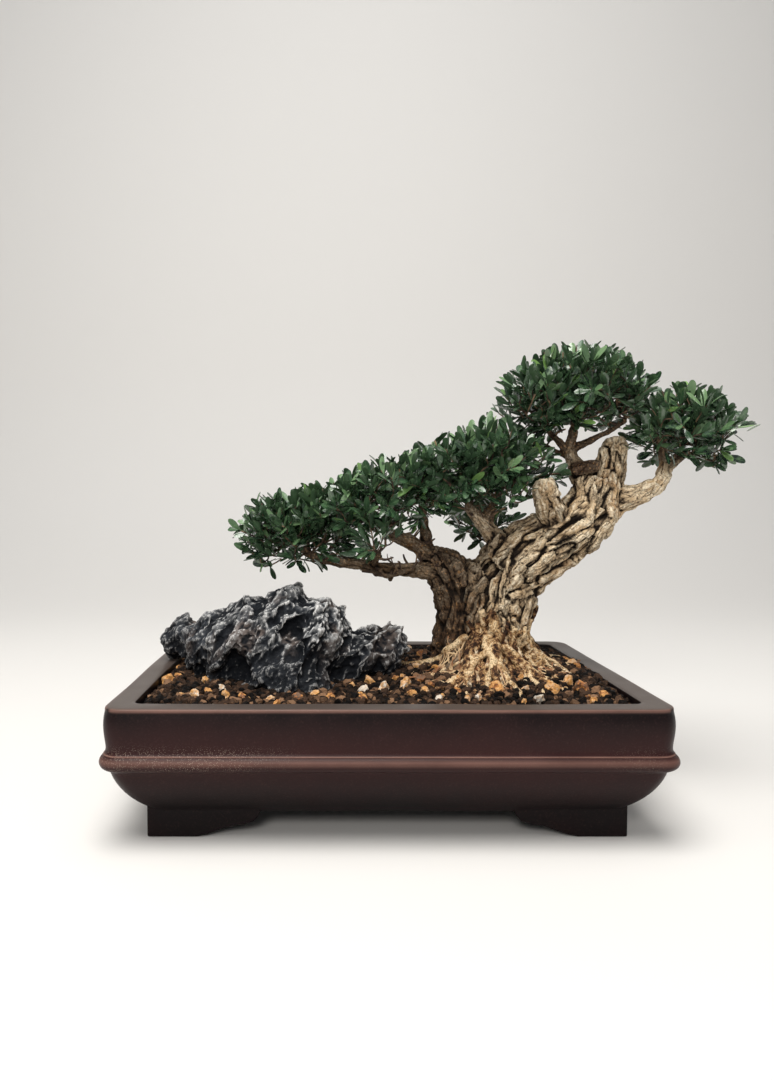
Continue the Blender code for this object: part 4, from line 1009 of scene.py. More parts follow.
# A strand ends where its next step down would be longer than this.
STRAND_LEAP = 11
STRAND_STRIDE = 3.2
strands = []
for k in range(STRAND_COUNT):
    angle = draw.uniform(0, 360) if k % 3 == 0 else draw.uniform(-128, 0)
    girth = draw.choice((0.6, 0.75, 0.95, 1.25, 1.6, 2.2)) * draw.uniform(0.85, 1.15)
    head = draw.uniform(80, 98) + 7.0 * girth
    drift = draw.gauss(0, 2.2)
    z = head
    stations = []
    while z > SOIL_Z:
        at = math.radians(angle)
        out = Vector((math.cos(at), math.sin(at), 0.0))
        hit = wood_tree.ray_cast(Vector((*BASE_CENTRE, z)) + out * 70.0, -out)[0]
        if hit is None or z < soil_height(hit.x, hit.y) + 0.6:
            break
        if stations and (hit - stations[-1][0]).length > STRAND_LEAP:
            break
        stations.append((hit + out * girth * 0.45, girth))
        angle += drift + draw.gauss(0, 3.6)
        z -= STRAND_DROP * draw.uniform(0.7, 1.3)
    if len(stations) < 3 or stations[-1][0].z > soil_height(stations[-1][0].x, stations[-1][0].y) + 9.0:
        continue
    x, y, _ = stations[-1][0]
    heading = math.atan2(y - BASE_CENTRE[1], x - BASE_CENTRE[0]) + draw.gauss(0, 0.25)
    for _ in range(draw.randint(4, 9)):
        x += STRAND_STRIDE * math.cos(heading)
        y += STRAND_STRIDE * math.sin(heading)
        heading += draw.gauss(0, 0.2)
        hit = wood_tree.ray_cast(Vector((x, y, 100.0)), Vector((0, 0, -1)))[0]
        ground = soil_height(x, y)
        level = max(ground, min(hit.z, ground + 5.0)) if hit else ground
        girth *= 0.93
        stations.append((Vector((x, y, level + 0.4 * girth + draw.uniform(-0.2, 0.5))), girth))
    # The last station is under the soil.
    tip = Vector((x + 3.0 * math.cos(heading), y + 3.0 * math.sin(heading), ground - 3.0))
    stations.append((tip, girth * 0.7))
    strands.append(stations)
strands = [[(tuple(spot), girth) for spot, girth in stations] for stations in strands]
surface_roots = curve_through("surface_roots", strands, 1)
points = points_of(surface_roots)
numbers = limb_places(points, strands)[:, 4].astype(int)
gnarl = np.array([
    0.24 * noise.fractal(Vector(p) / 1.5, 0.6, 2.0, 2) + 0.34 * noise.noise(Vector(p) / 4.0) for p in points
])
move_points(surface_roots, points + normals_of(surface_roots) * gnarl[:, None])
# They are dark with damp on the left of the flare, and palest in front.
strand_tints = np.array([
    draw.random() - 0.75 * float(step(strand[0][0][0], 58.0, 46.0)) for strand in strands
])
store(surface_roots, "tint", strand_tints[numbers])
mark_crests(surface_roots, 3, "swell")
CREAM_ROOT = (0.74, 0.56, 0.34)
GOLD_ROOT = (0.42, 0.26, 0.12)
RUST_ROOT = (0.15, 0.07, 0.032)
DARK_ROOT = (0.022, 0.012, 0.008)
root_skin = Finish("surface_root", DARK_ROOT)
mottle = root_skin.noise(260.0, 4.0, roughness=0.7)
tone = root_skin.plus(root_skin.attribute("tint"), root_skin.span(mottle, 0.35, 0.65, -0.4, 0.4))
for colour, low, high in ((RUST_ROOT, -0.1, 0.2), (GOLD_ROOT, 0.2, 0.5), (CREAM_ROOT, 0.5, 0.9)):
    root_skin.wash(colour, tone, low, high)
scurf = root_skin.noise(1400.0, 3.0)
root_skin.wash(DARK_ROOT, scurf, 0.5, 0.34, 0.9)
# The creases of the strands are painted dark: painted shade.
root_skin.wash(DARK_ROOT, root_skin.attribute("swell"), 0.0, -0.35, 0.8)
root_skin.close(0.85, (0.7, 0.0007, scurf), 0.15)
dress(surface_roots, root_skin)
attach(surface_roots, "root")

# Root hairs
# Dry feeder roots, no thicker than string, lie over the flare and run out across the soil.

HAIR_COUNT = 120
HAIR_SPAN = (14.0, 34.0)
hairs = []
while len(hairs) < HAIR_COUNT:
    angle = math.radians(draw.gauss(-70, 75))
    reach = draw.uniform(20, 44)
    x = BASE_CENTRE[0] + reach * math.cos(angle)
    y = BASE_CENTRE[1] + 0.85 * reach * math.sin(angle)
    heading = angle + draw.gauss(0, 0.5)
    length = draw.uniform(*HAIR_SPAN)
    radius = draw.uniform(0.32, 0.85)
    stations = []
    for k in range(9):
        hit = wood_tree.ray_cast(Vector((x, y, 103.0)), Vector((0, 0, -1)))[0]
        ground = soil_height(x, y) + 0.2
        z = max(ground, hit.z if hit and hit.z > ground else ground)
        stations.append(((x, y, z + draw.uniform(0.0, 0.9)), radius * (1.0 - 0.07 * k)))
        heading += draw.gauss(0, 0.32)
        x += length / 8 * math.cos(heading)
        y += length / 8 * math.sin(heading)
    heights = [place[2] for place, _ in stations]
    if max(abs(a - b) for a, b in zip(heights, heights[1:])) < 7.0:
        hairs.append(stations)
root_hairs = curve_through("root_hairs", hairs, 0)
PALE_HAIR = (0.62, 0.44, 0.25)
RED_HAIR = (0.3, 0.13, 0.055)
hair = Finish("root_hair", RED_HAIR)
hair.wash(PALE_HAIR, hair.noise(90.0, 2.0), 0.4, 0.6)
hair.close(0.85, (0.4, 0.0003, hair.noise(1800.0, 2.0)))
dress(root_hairs, hair)
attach(root_hairs, "root")

# Soil
# A fired-clay and lava mix, black-brown and damp, level just under the lip and mounded round the trunk.
# A bed of fine crumbs fills the pot, and a layer of loose grains of three shapes covers it.

MOUTH_HALF = (RIM_HALF[0] - LIP_WIDTH - 0.3, RIM_HALF[1] - LIP_WIDTH - 0.3)
MOUTH_RADIUS = 4.5
GRAIN_PITCH = 3.2
ROW_PITCH = GRAIN_PITCH * 0.87
GRAIN_RADIUS = (1.1, 2.9)
EDGE_DROP = 2.2
EDGE_WIDTH = 11.0
# Below the soil's surface the bed follows the inside of the pot: its share of the mouth, and its height.
BED_ROWS = ((1.0, 52.0), (0.97, 38.0), (0.9, 27.0), (0.83, 21.8))
BED_SINK = 1.9


def low_by_wall(x, y):
    """How far the soil has sunk beside the walls."""
    gap = min(MOUTH_HALF[0] - abs(x), MOUTH_HALF[1] - abs(y))
    return EDGE_DROP * max(0.0, 1.0 - gap / EDGE_WIDTH) ** 1.3


clear_selection()
bpy.ops.mesh.primitive_grid_add(x_subdivisions=150, y_subdivisions=104, size=2.0)
bed = bpy.context.object
bed.name = "soil_bed"
for vertex in bed.data.vertices:
    x = vertex.co.x * MOUTH_HALF[0]
    y = vertex.co.y * MOUTH_HALF[1]
    # The corners are drawn in to the mouth's own rounding.
    dx = abs(x) - MOUTH_HALF[0] + MOUTH_RADIUS
    dy = abs(y) - MOUTH_HALF[1] + MOUTH_RADIUS
    if dx > 0 and dy > 0 and math.hypot(dx, dy) > MOUTH_RADIUS:
        pull = MOUTH_RADIUS / math.hypot(dx, dy)
        x = math.copysign(MOUTH_HALF[0] - MOUTH_RADIUS + dx * pull, x)
        y = math.copysign(MOUTH_HALF[1] - MOUTH_RADIUS + dy * pull, y)
    crumb = noise.fractal(Vector((x / 3.2, y / 3.2, 0.0)), 0.7, 2.0, 3)
    z = soil_height(x, y) - low_by_wall(x, y) - BED_SINK + 0.6 * crumb
    vertex.co = (x * MM, y * MM, z * MM)
bpy.ops.object.mode_set(mode="EDIT")
bpy.ops.mesh.select_mode(type="EDGE")
bpy.ops.mesh.select_all(action="SELECT")
bpy.ops.mesh.region_to_loop()
bed_z = SOIL_Z
for share, z in BED_ROWS:
    bpy.ops.mesh.extrude_edges_move(TRANSFORM_OT_translate={"value": (0.0, 0.0, (z - bed_z) * MM)})
    bpy.ops.transform.resize(value=(share, share, 1.0), center_override=(0.0, 0.0, 0.0))
    bed_z = z
bpy.ops.mesh.edge_face_add()
bpy.ops.mesh.select_all(action="SELECT")
bpy.ops.mesh.normals_make_consistent(inside=False)
bpy.ops.object.mode_set(mode="OBJECT")


def grain_shape(seed, subdivisions, rough):
    """One grain as unit points and triangles: a ball of a few dozen faces, knocked out of round."""
    clear_selection()
    bpy.ops.mesh.primitive_ico_sphere_add(subdivisions=subdivisions, radius=1.0)
    ball = bpy.context.object
    lumpy = bpy.data.textures.new("lumpy", "VORONOI")
    lumpy.noise_scale = 0.9
    knocks = ball.modifiers.new("Knocks", "DISPLACE")
    knocks.texture = lumpy
    knocks.strength = rough
    ball.data.transform(Matrix.Translation((seed * 3.1, seed * 1.7, 0.0)))
    if subdivisions > 2:
        chipped = bpy.data.textures.new("chipped", "VORONOI")
        chipped.noise_scale = 0.35
        chips = ball.modifiers.new("Chips", "DISPLACE")
        chips.texture = chipped
        chips.strength = 0.3
    apply_all(ball)
    ball.data.transform(Matrix.Translation((-seed * 3.1, -seed * 1.7, 0.0)))
    if subdivisions == 2:
        thin = ball.modifiers.new("Fewer faces", "DECIMATE")
        thin.ratio = 0.55
        thin.use_collapse_triangulate = True
        apply_all(ball)
    points = np.array([tuple(v.co) for v in ball.data.vertices])
    faces = np.array([tuple(face.vertices) for face in ball.data.polygons])
    bpy.data.objects.remove(ball, do_unlink=True)
    return points, faces


def new_piece(name, points, faces, **attributes):
    """A piece of points, in millimetres, and triangles, with a value at each point for each attribute."""
    mesh = bpy.data.meshes.new(name)
    mesh.from_pydata((points * MM).tolist(), [], faces.tolist())
    piece = bpy.data.objects.new(name, mesh)
    bpy.context.scene.collection.objects.link(piece)
    for key, values in attributes.items():
        store(piece, key, values)
    return piece


def strewn(name, shapes, places):
    """One mesh of many copies: each place is (x, y, z), radii, a turn, a shape number and a tint."""
    all_points, all_faces, tints = [], [], []
    total = 0
    for centre, radii, turn, number, tint in places:
        points, faces = shapes[number]
        all_points.append((points * radii) @ np.array(turn.to_matrix()).T + centre)
        all_faces.append(faces + total)
        tints.append(np.full(len(points), tint))
        total += len(points)
    return new_piece(name, np.concatenate(all_points), np.concatenate(all_faces), tint=np.concatenate(tints))


def buried(tree, x, y, z):
    """Whether a place is inside a solid: the first face straight above it looks up."""
    hit, normal, _, _ = tree.ray_cast(Vector((x, y, z)), Vector((0, 0, 1)))
    return hit is not None and normal.z > 0


def any_turn():
    return Quaternion([draw.gauss(0, 1) for _ in range(4)]).normalized()


# Pumice and gravel: the pieces at the front that catch the eye, as place, radius and tone.
GRAVEL = [
    (-130, -25, 3.4, 0.5), (-126, -17, 2.3, 0.35), (-107, -27, 2.5, 0.6), (-94, -52, 2.6, 0.9),
    (-89, -71, 2.8, 0.5), (-115, -69, 2.3, 0.5), (-107, -69, 3.1, 0.7), (-64, -76, 2.3, 0.8),
    (-7, -40, 3.1, 0.6), (-18, -46, 1.8, 0.5), (0, -55, 3.2, 0.8), (13, -48, 3.7, 0.7),
    (-14, -66, 1.8, 0.5), (8, -34, 2, 0.4), (15, -66, 2.5, 0.5), (23, -62, 2.6, 0.6),
    (23, -40, 3.6, 0.1), (29, -77, 1.9, 1), (44, -80, 2, 0.6), (51, -76, 2, 0.9), (63, -64, 4, 0.45),
    (95, -62, 4.2, 0.55), (83, -81, 2.7, 1), (108, -50, 3.8, 0.65), (112, -62, 4.5, 0.2),
    (112, -82, 2, 0.5), (122, -70, 2.3, 0.35), (124, -14, 2.5, 0.3), (-80, -70, 2.2, 0.3),
    (-31, -72, 2.1, 0.3), (41, -63, 2.3, 0.3), (74, -84, 1.8, 0.5),
]
LOOSE_GRAVEL = 70
shapes = [grain_shape(k + 1, 2, 0.9) for k in range(4)]
solids = (stone_tree, wood_tree)
stones = list(GRAVEL)
while len(stones) < len(GRAVEL) + LOOSE_GRAVEL:
    x = draw.uniform(-MOUTH_HALF[0] + 4, MOUTH_HALF[0] - 4)
    y = draw.uniform(-MOUTH_HALF[1] + 4, MOUTH_HALF[1] - 4)
    radius = draw.uniform(1.3, 2.9)
    if any(math.hypot(x - other[0], y - other[1]) < radius + other[2] + 2 for other in stones):
        continue
    stones.append((x, y, radius, draw.choice((0.15, 0.3, 0.45, 0.5, 0.6, 0.75, 0.95))))
places = []
for x, y, radius, tone in stones:
    z = soil_height(x, y) - low_by_wall(x, y) + 0.4 * radius
    if any(buried(solid, x, y, z) for solid in solids):
        continue
    radii = radius * np.array([draw.uniform(0.95, 1.25), draw.uniform(0.85, 1.1), draw.uniform(0.7, 0.9)])
    places.append(((x, y, z), radii, any_turn(), draw.randrange(4), tone))
gravel = strewn("gravel", [grain_shape(k + 9, 3, 0.95) for k in range(4)], places)

grains = []
rows = int(2 * MOUTH_HALF[1] / ROW_PITCH)
columns = int(2 * MOUTH_HALF[0] / GRAIN_PITCH)
for i in range(rows):
    for j in range(columns):
        x = -MOUTH_HALF[0] + 2.0 + (j + 0.5 * (i % 2)) * GRAIN_PITCH + draw.uniform(-1.0, 1.0)
        y = -MOUTH_HALF[1] + 2.0 + i * ROW_PITCH + draw.uniform(-1.0, 1.0)
        radius = GRAIN_RADIUS[0] + (GRAIN_RADIUS[1] - GRAIN_RADIUS[0]) * draw.random() ** 1.7
        if abs(x) > MOUTH_HALF[0] - radius or abs(y) > MOUTH_HALF[1] - radius:
            continue
        z = soil_height(x, y) - low_by_wall(x, y) + draw.uniform(-0.9, 0.5)
        if any(math.hypot(x - other[0], y - other[1]) < 0.6 * other[2] + 0.5 * radius for other in stones):
            continue
        if any(buried(solid, x, y, z + 1.0) for solid in solids):
            continue
        radii = radius * np.array([draw.uniform(0.85, 1.2) for _ in range(3)])
        grains.append(((x, y, z), radii, any_turn(), draw.randrange(4), draw.random()))
soil_grains = strewn("soil_grains", shapes, grains)

BLACK_SOIL = (0.0035, 0.0026, 0.0022)
BROWN_SOIL = (0.05, 0.028, 0.0175)
RED_SOIL = (0.24, 0.135, 0.075)
soil = Finish("bonsai_soil", BLACK_SOIL)
tint = soil.attribute("tint")
pores = soil.noise(900.0, 5.0)
soil.wash(BROWN_SOIL, tint, 0.2, 0.8)
soil.wash(RED_SOIL, tint, 0.8, 0.98)
soil.lay(RED_SOIL, soil.times(soil.span(pores, 0.52, 0.72, 0.0, 0.6), tint))
soil.close(soil.span(pores, 0.35, 0.7, 0.6, 0.95), (1.0, 0.0012, pores), 0.12)

WHITE_GRAVEL = (0.68, 0.6, 0.5)
OCHRE_GRAVEL = (0.62, 0.31, 0.09)
PINK_GRAVEL = (0.64, 0.39, 0.2)
RUSTY_GRAVEL = (0.3, 0.095, 0.025)
BROWN_GRAVEL = (0.16, 0.09, 0.05)
grit = Finish("gravel", BROWN_GRAVEL)
blotch = grit.noise(420.0, 6.0, roughness=0.7)
tone = grit.plus(grit.attribute("tint"), grit.span(blotch, 0.3, 0.7, -0.3, 0.3))
for colour, low, high in (
    (RUSTY_GRAVEL, 0.1, 0.25), (OCHRE_GRAVEL, 0.25, 0.42), (PINK_GRAVEL, 0.5, 0.72),
    (WHITE_GRAVEL, 0.75, 0.98),
):
    grit.wash(colour, tone, low, high)
grit.close(grit.span(blotch, 0.3, 0.7, 0.5, 0.8), (0.9, 0.0012, blotch))

for piece, finish, angle in ((bed, soil, 50.0), (soil_grains, soil, 42.0), (gravel, grit, 34.0)):
    dress(piece, finish, angle)
    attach(piece, "root")
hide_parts("soil")

# Foliage
# Pads of small leathery leaves, set in crossed pairs along short upright shoots at the tips of fine twigs.
# One leaf is modelled, then copied for every pair; each pad is one piece that stands for its CAD node.

# A leaf along X, base to tip: share of its length, and half its width.
LEAF_ROWS = [(0.0, 0.05), (0.13, 0.17), (0.33, 0.36), (0.58, 0.5), (0.8, 0.45), (0.94, 0.29), (1.0, 0.1)]
clear_selection()
bpy.ops.mesh.primitive_grid_add(x_subdivisions=len(LEAF_ROWS) - 1, y_subdivisions=2, size=1.0)
leaf = bpy.context.object
for vertex in leaf.data.vertices:
    row = round((vertex.co.x + 0.5) * (len(LEAF_ROWS) - 1))
    share, half = LEAF_ROWS[row]
    # The blade is a shallow trough along its midrib.
    side = round(vertex.co.y * 2)
    vertex.co = (share, side * half, 0.16 * half * abs(side) ** 2)
edit_all()
bpy.ops.mesh.duplicate()
bpy.ops.mesh.flip_normals()
shape = bmesh.from_edit_mesh(leaf.data)
for vertex in shape.verts:
    if vertex.select and abs(vertex.co.y) < 0.001 and 0.01 < vertex.co.x < 0.99:
        vertex.co.z -= 0.09
bmesh.update_edit_mesh(leaf.data)
bpy.ops.mesh.select_all(action="SELECT")
bpy.ops.mesh.remove_doubles(threshold=0.001)
bpy.ops.mesh.quads_convert_to_tris()
bpy.ops.object.mode_set(mode="OBJECT")
leaf_points = np.array([tuple(v.co) for v in leaf.data.vertices])
leaf_faces = np.array([tuple(face.vertices) for face in leaf.data.polygons])
leaf_under = np.array([face.normal.z < 0 for face in leaf.data.polygons], float)
bpy.data.objects.remove(leaf, do_unlink=True)

# The outlines of the foliage as it is seen from the front, in the plane through the trunk.
LEFT_CLOUD = [
    (-97, 168), (-88, 178), (-78, 184), (-56, 191), (-33, 194), (-8, 209), (21, 215), (51, 226),
    (71, 236), (82, 238), (100, 224), (112, 214), (124, 204), (122, 194), (99, 181), (81, 177),
    (65, 172), (46, 168), (34, 165), (20, 162), (14, 146), (-4, 143), (-24, 140), (-40, 138), (-47, 130),
    (-65, 133), (-80, 140), (-92, 152),
]
CROWN = [
    (70, 243), (76, 260), (96, 274), (109, 281), (133, 283), (154, 279), (171, 267), (182, 257),
    (163, 231), (141, 225), (116, 218), (90, 224), (74, 238),
]
RIGHT = [
    (153, 224), (160, 206), (171, 205), (202, 202), (218, 202), (234, 205), (241, 231), (228, 246),
    (210, 256), (186, 259), (168, 248), (158, 236),
]
BACK = [(50, 145), (90, 145), (100, 175), (90, 200), (50, 200), (44, 170)]
# Each pad: its number of shoots, its outline, the limbs that feed it, and its lumps as centre and radii.
PADS = {
    "back": (34, BACK, ("back_branch",), [((73, 56, 166), (14, 11, 8)), ((79, 50, 156), (9, 8, 6))]),
    "left_low": (10, LEFT_CLOUD, ("left_low_twig",), [((-1, -30, 153), (7, 5, 3.5))]),
    "centre": (140, LEFT_CLOUD, ("centre_branch", "centre_inner_twig"), [
        ((72, 0, 206), (19, 25, 14)), ((50, -5, 197), (15, 21, 13)), ((94, 3, 202), (17, 18, 10)),
        ((60, -8, 184), (15, 16, 8)), ((82, -7, 187), (13, 15, 8)),
    ]),
    "crown": (186, CROWN, ("crown_leader", "crown_left_twig", "crown_low_twig", "crown_right_twig"), [
        ((102, 0, 245), (15, 24, 10)), ((136, 0, 251), (20, 28, 13)), ((121, 2, 260), (17, 18, 8)),
        ((158, -2, 246), (12, 18, 9)), ((97, 0, 234), (15, 18, 7)), ((121, 2, 235), (18, 20, 8)),
        ((149, -2, 238), (15, 17, 8)),
    ]),
    "right": (100, RIGHT, ("right_branch", "right_twig"), [
        ((186, -4, 227), (14, 20, 10)), ((206, -5, 225), (12, 17, 8)), ((192, -5, 238), (11, 12, 6)),
        ((173, -6, 217), (9, 13, 7)), ((211, -6, 213), (12, 13, 6)), ((191, -5, 214), (13, 15, 7)),
    ]),
    "left_inner": (112, LEFT_CLOUD, ("left_branch", "left_upper_branch"), [
        ((10, -5, 184), (18, 25, 13)), ((-13, -5, 176), (15, 22, 12)), ((29, -2, 190), (13, 21, 12)),
        ((23, -3, 179), (12, 16, 6)),
    ]),
    "left_outer": (128, LEFT_CLOUD, ("left_low_branch", "left_tip_twig"), [
        ((-52, -8, 161), (18, 22, 12)), ((-73, -8, 162), (13, 15, 9)), ((-33, -4, 168), (13, 20, 12)),
        ((-60, -8, 148), (16, 14, 7)), ((-36, -7, 153), (12, 12, 6)),
    ]),
}
LEAF_LENGTH = (11.5, 16.0)
LEAF_WIDTH = (4.1, 5.4)
SHOOT_LENGTH = (8.0, 15.0)
PAIRS = (3, 5)


def seen_at(points):
    """Where points show in the plane through the trunk, from where the picture is taken."""
    share = -EYE[1] / (points[:, 1] - EYE[1])
    return np.stack([EYE[k] + (points[:, k] - EYE[k]) * share for k in (0, 2)], axis=1)


def outside_by(spots, outline):
    """How far each spot lies outside an outline, and 0 inside it."""
    inside = np.zeros(len(spots), bool)
    nearest = np.full(len(spots), 1e9)
    corners = np.array(outline, float)
    for start, end in zip(corners, np.roll(corners, -1, axis=0)):
        crosses = (start[1] > spots[:, 1]) != (end[1] > spots[:, 1])
        rise = end[1] - start[1] or 1e-9
        at = start[0] + (spots[:, 1] - start[1]) * (end[0] - start[0]) / rise
        inside ^= crosses & (spots[:, 0] < at)
        run = end - start
        share = np.clip((spots - start) @ run / (run @ run), 0.0, 1.0)
        nearest = np.minimum(nearest, np.linalg.norm(spots - start - share[:, None] * run, axis=1))
    return np.where(inside, 0.0, nearest)


def leaf_at(base, along, up, length, width, arch):
    """A leaf's points: set on its base, run along, faced up, and arched back towards its tip."""
    along = along.normalized()
    side = up.cross(along).normalized()
    up = along.cross(side)
    x = leaf_points[:, 0]
    flat = leaf_points * (length, width, width)
    flat[:, 2] -= arch * length * x * x
    turn = np.array([tuple(along), tuple(side), tuple(up)])
    return flat @ turn + np.array(tuple(base))


def shoot_leaves(base, way, length, pairs, vigour):
    """The crossed pairs of leaves on one shoot, smaller where the shoot is weak."""
    side = way.orthogonal().normalized()
    side.rotate(Quaternion(way, draw.uniform(0, math.pi)))
    leaves = []
    for k in range(pairs):
        share = 0.25 + 0.75 * k / (pairs - 1)
        side.rotate(Quaternion(way, math.pi / 2 + draw.gauss(0, 0.15)))
        spread = math.radians(58 - 38 * share + draw.gauss(0, 7))
        size = vigour * (0.72 + 0.55 * share * (1.25 - share)) + draw.gauss(0, 0.06)
        for sign in (1, -1):
            lean = spread + draw.gauss(0, 0.12)
            along = way * math.cos(lean) + side * sign * math.sin(lean)
            up = way - along * way.dot(along) + Vector((0, 0, 0.35))
            up.rotate(Quaternion(along, draw.gauss(0, 0.3)))
            foot = base + way * length * share + along * 0.7
            leaves.append(leaf_at(
                foot, along, up, size * draw.uniform(*LEAF_LENGTH), size * draw.uniform(*LEAF_WIDTH),
                draw.uniform(-0.02, 0.16),
            ))
    return leaves


def pad_shoots(lumps, count):
    """Places and directions for shoots, spread evenly over each lump and inside it."""
    weights = [r[0] * r[1] + r[1] * r[2] + r[0] * r[2] for _, r in lumps]
    golden = math.pi * (3.0 - math.sqrt(5.0))
    shoots = []
    for (centre, radii), weight in zip(lumps, weights):
        number = max(6, round(count * weight / sum(weights)))
        for k in range(number):
            height = 1.0 - 1.86 * (k + 0.5) / number
            spread = math.sqrt(1.0 - height * height)
            turn = golden * k
            out = Vector((spread * math.cos(turn), spread * math.sin(turn), height))
            depth = draw.choice((1.0, 1.0, 0.9, 0.72, 0.5))
            base = Vector(centre) + Vector(r * c * depth for r, c in zip(radii, out))
            normal = Vector(c / r for r, c in zip(radii, out)).normalized()
            way = normal * 0.78 + Vector((0, 0, 0.62)) + Vector(draw.gauss(0, 0.26) for _ in range(3))
            way.z = max(way.z, -0.12)
            shoots.append((base, way.normalized(), out.z))
    return shoots


pad_leaves = {}
pad_bases = {}
for name, (count, outline, feeders, lumps) in PADS.items():
    leaves = []
    bases = []
    for base, way, height in pad_shoots(lumps, count):
        vigour = 0.92 + 0.12 * height
        length = draw.uniform(*SHOOT_LENGTH) * vigour
        kept = [
            blade for blade in shoot_leaves(base, way, length, draw.randint(*PAIRS), vigour)
            if outside_by(seen_at(blade), outline).max() <= draw.choice((0.2, 0.8, 1.5, 2.5, 4.0))
        ]
        if len(kept) > 2:
            leaves += kept
            bases.append((base, way, length))
    pad_leaves[name] = leaves
    pad_bases[name] = bases

# Single leaves that stand out of the pads edge on: the pad, and x and z of the leaf's foot and tip.
EDGE_LEAVES = [
    ("left_outer", -82.5, 162.8, -95.1, 165.5), ("left_outer", -80.5, 159.3, -89.5, 157.8),
    ("left_outer", -72.5, 148.2, -85.9, 144.1), ("left_outer", -69.2, 176.5, -78.6, 183.4),
    ("crown", 134.5, 275.3, 129.2, 283.9), ("crown", 146.7, 273.5, 154.7, 279.1),
    ("crown", 86.9, 237.7, 73.8, 241.8), ("crown", 117.6, 254.4, 107.7, 263.5),
    ("right", 163.6, 214, 154.5, 217.6), ("centre", 110.4, 203.1, 118, 206.6),
    ("right", 213.9, 246.8, 216.2, 255.2), ("right", 231.4, 226, 240.3, 230.7),
]
# The large leaves that make the pads' outline, with their faces to the front.
FACE_LEAVES = [
    ("left_outer", -47, 177, -50, 191), ("left_outer", -24, 180, -28, 193),
    ("left_outer", -11, 189, -25, 199), ("left_inner", -6, 193, -9, 208),
    ("left_inner", 12, 197, 7, 208), ("left_inner", 21, 200, 16, 213), ("left_inner", 45, 210, 33, 219),
    ("centre", 46, 211, 50, 225), ("centre", 64, 214, 55, 229), ("centre", 68, 219, 69, 233),
    ("centre", 75, 223, 79, 235), ("crown", 137, 267, 136, 281), ("crown", 130, 268, 128, 280),
    ("crown", 126, 263, 121, 275), ("crown", 141, 267, 145, 279), ("crown", 165, 251, 175, 261),
    ("crown", 160, 253, 162, 265), ("crown", 104, 260, 96, 271), ("crown", 100, 254, 89, 262),
    ("crown", 88, 250, 76, 257), ("right", 190, 245, 186, 257), ("right", 196, 246, 196, 258),
    ("right", 183, 242, 181, 253), ("right", 217, 230, 227, 236), ("right", 218, 211, 231, 207),
    ("right", 204, 209, 215, 204), ("right", 193, 211, 202, 205), ("right", 169, 217, 159, 224),
    ("right", 172, 213, 163, 209),
]
for turned, leaf_list in ((0.0, EDGE_LEAVES), (1.0, FACE_LEAVES)):
    for name, foot_x, foot_z, tip_x, tip_z in leaf_list:
        base = Vector((foot_x, -6.0, foot_z))
        along = Vector((tip_x - foot_x, draw.uniform(-3, 3), tip_z - foot_z))
        edge_on = along.cross(Vector((0, 1, 0))).normalized()
        up = edge_on * (1.0 - turned) + Vector((draw.gauss(0, 0.3), -1.0, 0.5)) * turned
        pad_leaves[name].append(leaf_at(base, along, up, along.length, 4.6 + 0.8 * turned, 0.02))

# Young leaves are light green: a few at random, and those that show at these spots.
YOUNG_SHARE = 0.04
YOUNG_SPOTS = [
    (106, 276), (112, 252), (102, 270), (195, 255), (126, 240), (133, 229), (152, 264), (-47, 188),
]
for name, leaves in pad_leaves.items():
    points = np.concatenate(leaves)
    stride = len(leaf_points)
    offsets = np.arange(len(leaves))[:, None, None] * stride
    faces = (leaf_faces[None] + offsets).reshape(-1, 3)
    middles = np.array([blade.mean(axis=0) for blade in leaves])
    # Leaves high in a pad are painted brighter than those under them: painted light from above, and painted
    # shade below.
    painted_light_share = (middles[:, 2] - middles[:, 2].min()) / np.ptp(middles[:, 2])
    tints = np.clip([0.74 * draw.random() + 0.36 * high - 0.06 for high in painted_light_share], 0.0, 1.0)
    shown = seen_at(middles)
    young = np.array([draw.random() < YOUNG_SHARE for _ in leaves], float) * 0.6
    for spot in YOUNG_SPOTS:
        apart = np.linalg.norm(shown - spot, axis=1) + 0.15 * (middles[:, 1] - middles[:, 1].min())
        nearest = np.argsort(apart)[:2]
        young[nearest] = np.where(apart[nearest] < 12.0, 0.85, young[nearest])
    side = np.sign(leaf_points[:, 1]) * np.minimum(abs(leaf_points[:, 1]) * 40.0, 1.0)
    piece = new_piece("leaves_" + name, points, faces, across=np.tile(side, len(leaves)))
    store(piece, "tint", np.repeat(tints, stride))
    store(piece, "young", np.repeat(young, stride))
    store(piece, "under", np.tile(leaf_under, len(leaves)), "FACE")
    pad_leaves[name] = piece

DEEP_LEAF = (0.005, 0.02, 0.0115)
MID_LEAF = (0.038, 0.087, 0.04)
BRIGHT_LEAF = (0.18, 0.3, 0.135)
YOUNG_LEAF = (0.2, 0.36, 0.1)
UNDER_LEAF = (0.05, 0.095, 0.05)
RIB_LEAF = (0.12, 0.22, 0.1)
leafy = Finish("boxwood_leaf", DEEP_LEAF)
tint = leafy.attribute("tint")
# The tint holds painted light: leaves high in their pad have higher tints, and are brighter.
leafy.wash(MID_LEAF, tint, 0.1, 0.6)
leafy.wash(BRIGHT_LEAF, tint, 0.58, 0.95, 0.85)
mottle = leafy.noise(420.0, 3.0)
leafy.wash(BRIGHT_LEAF, mottle, 0.45, 0.7, 0.35)
middle = leafy.add("Math", {0: leafy.attribute("across")}, operation="ABSOLUTE").outputs[0]
leafy.wash(RIB_LEAF, middle, 0.22, 0.04, 0.45)
leafy.lay(YOUNG_LEAF, leafy.attribute("young"))
leafy.lay(UNDER_LEAF, leafy.times(leafy.attribute("under"), 0.8))
leafy.close(leafy.span(mottle, 0.3, 0.7, 0.15, 0.28), (0.25, 0.0004, mottle), 0.95)

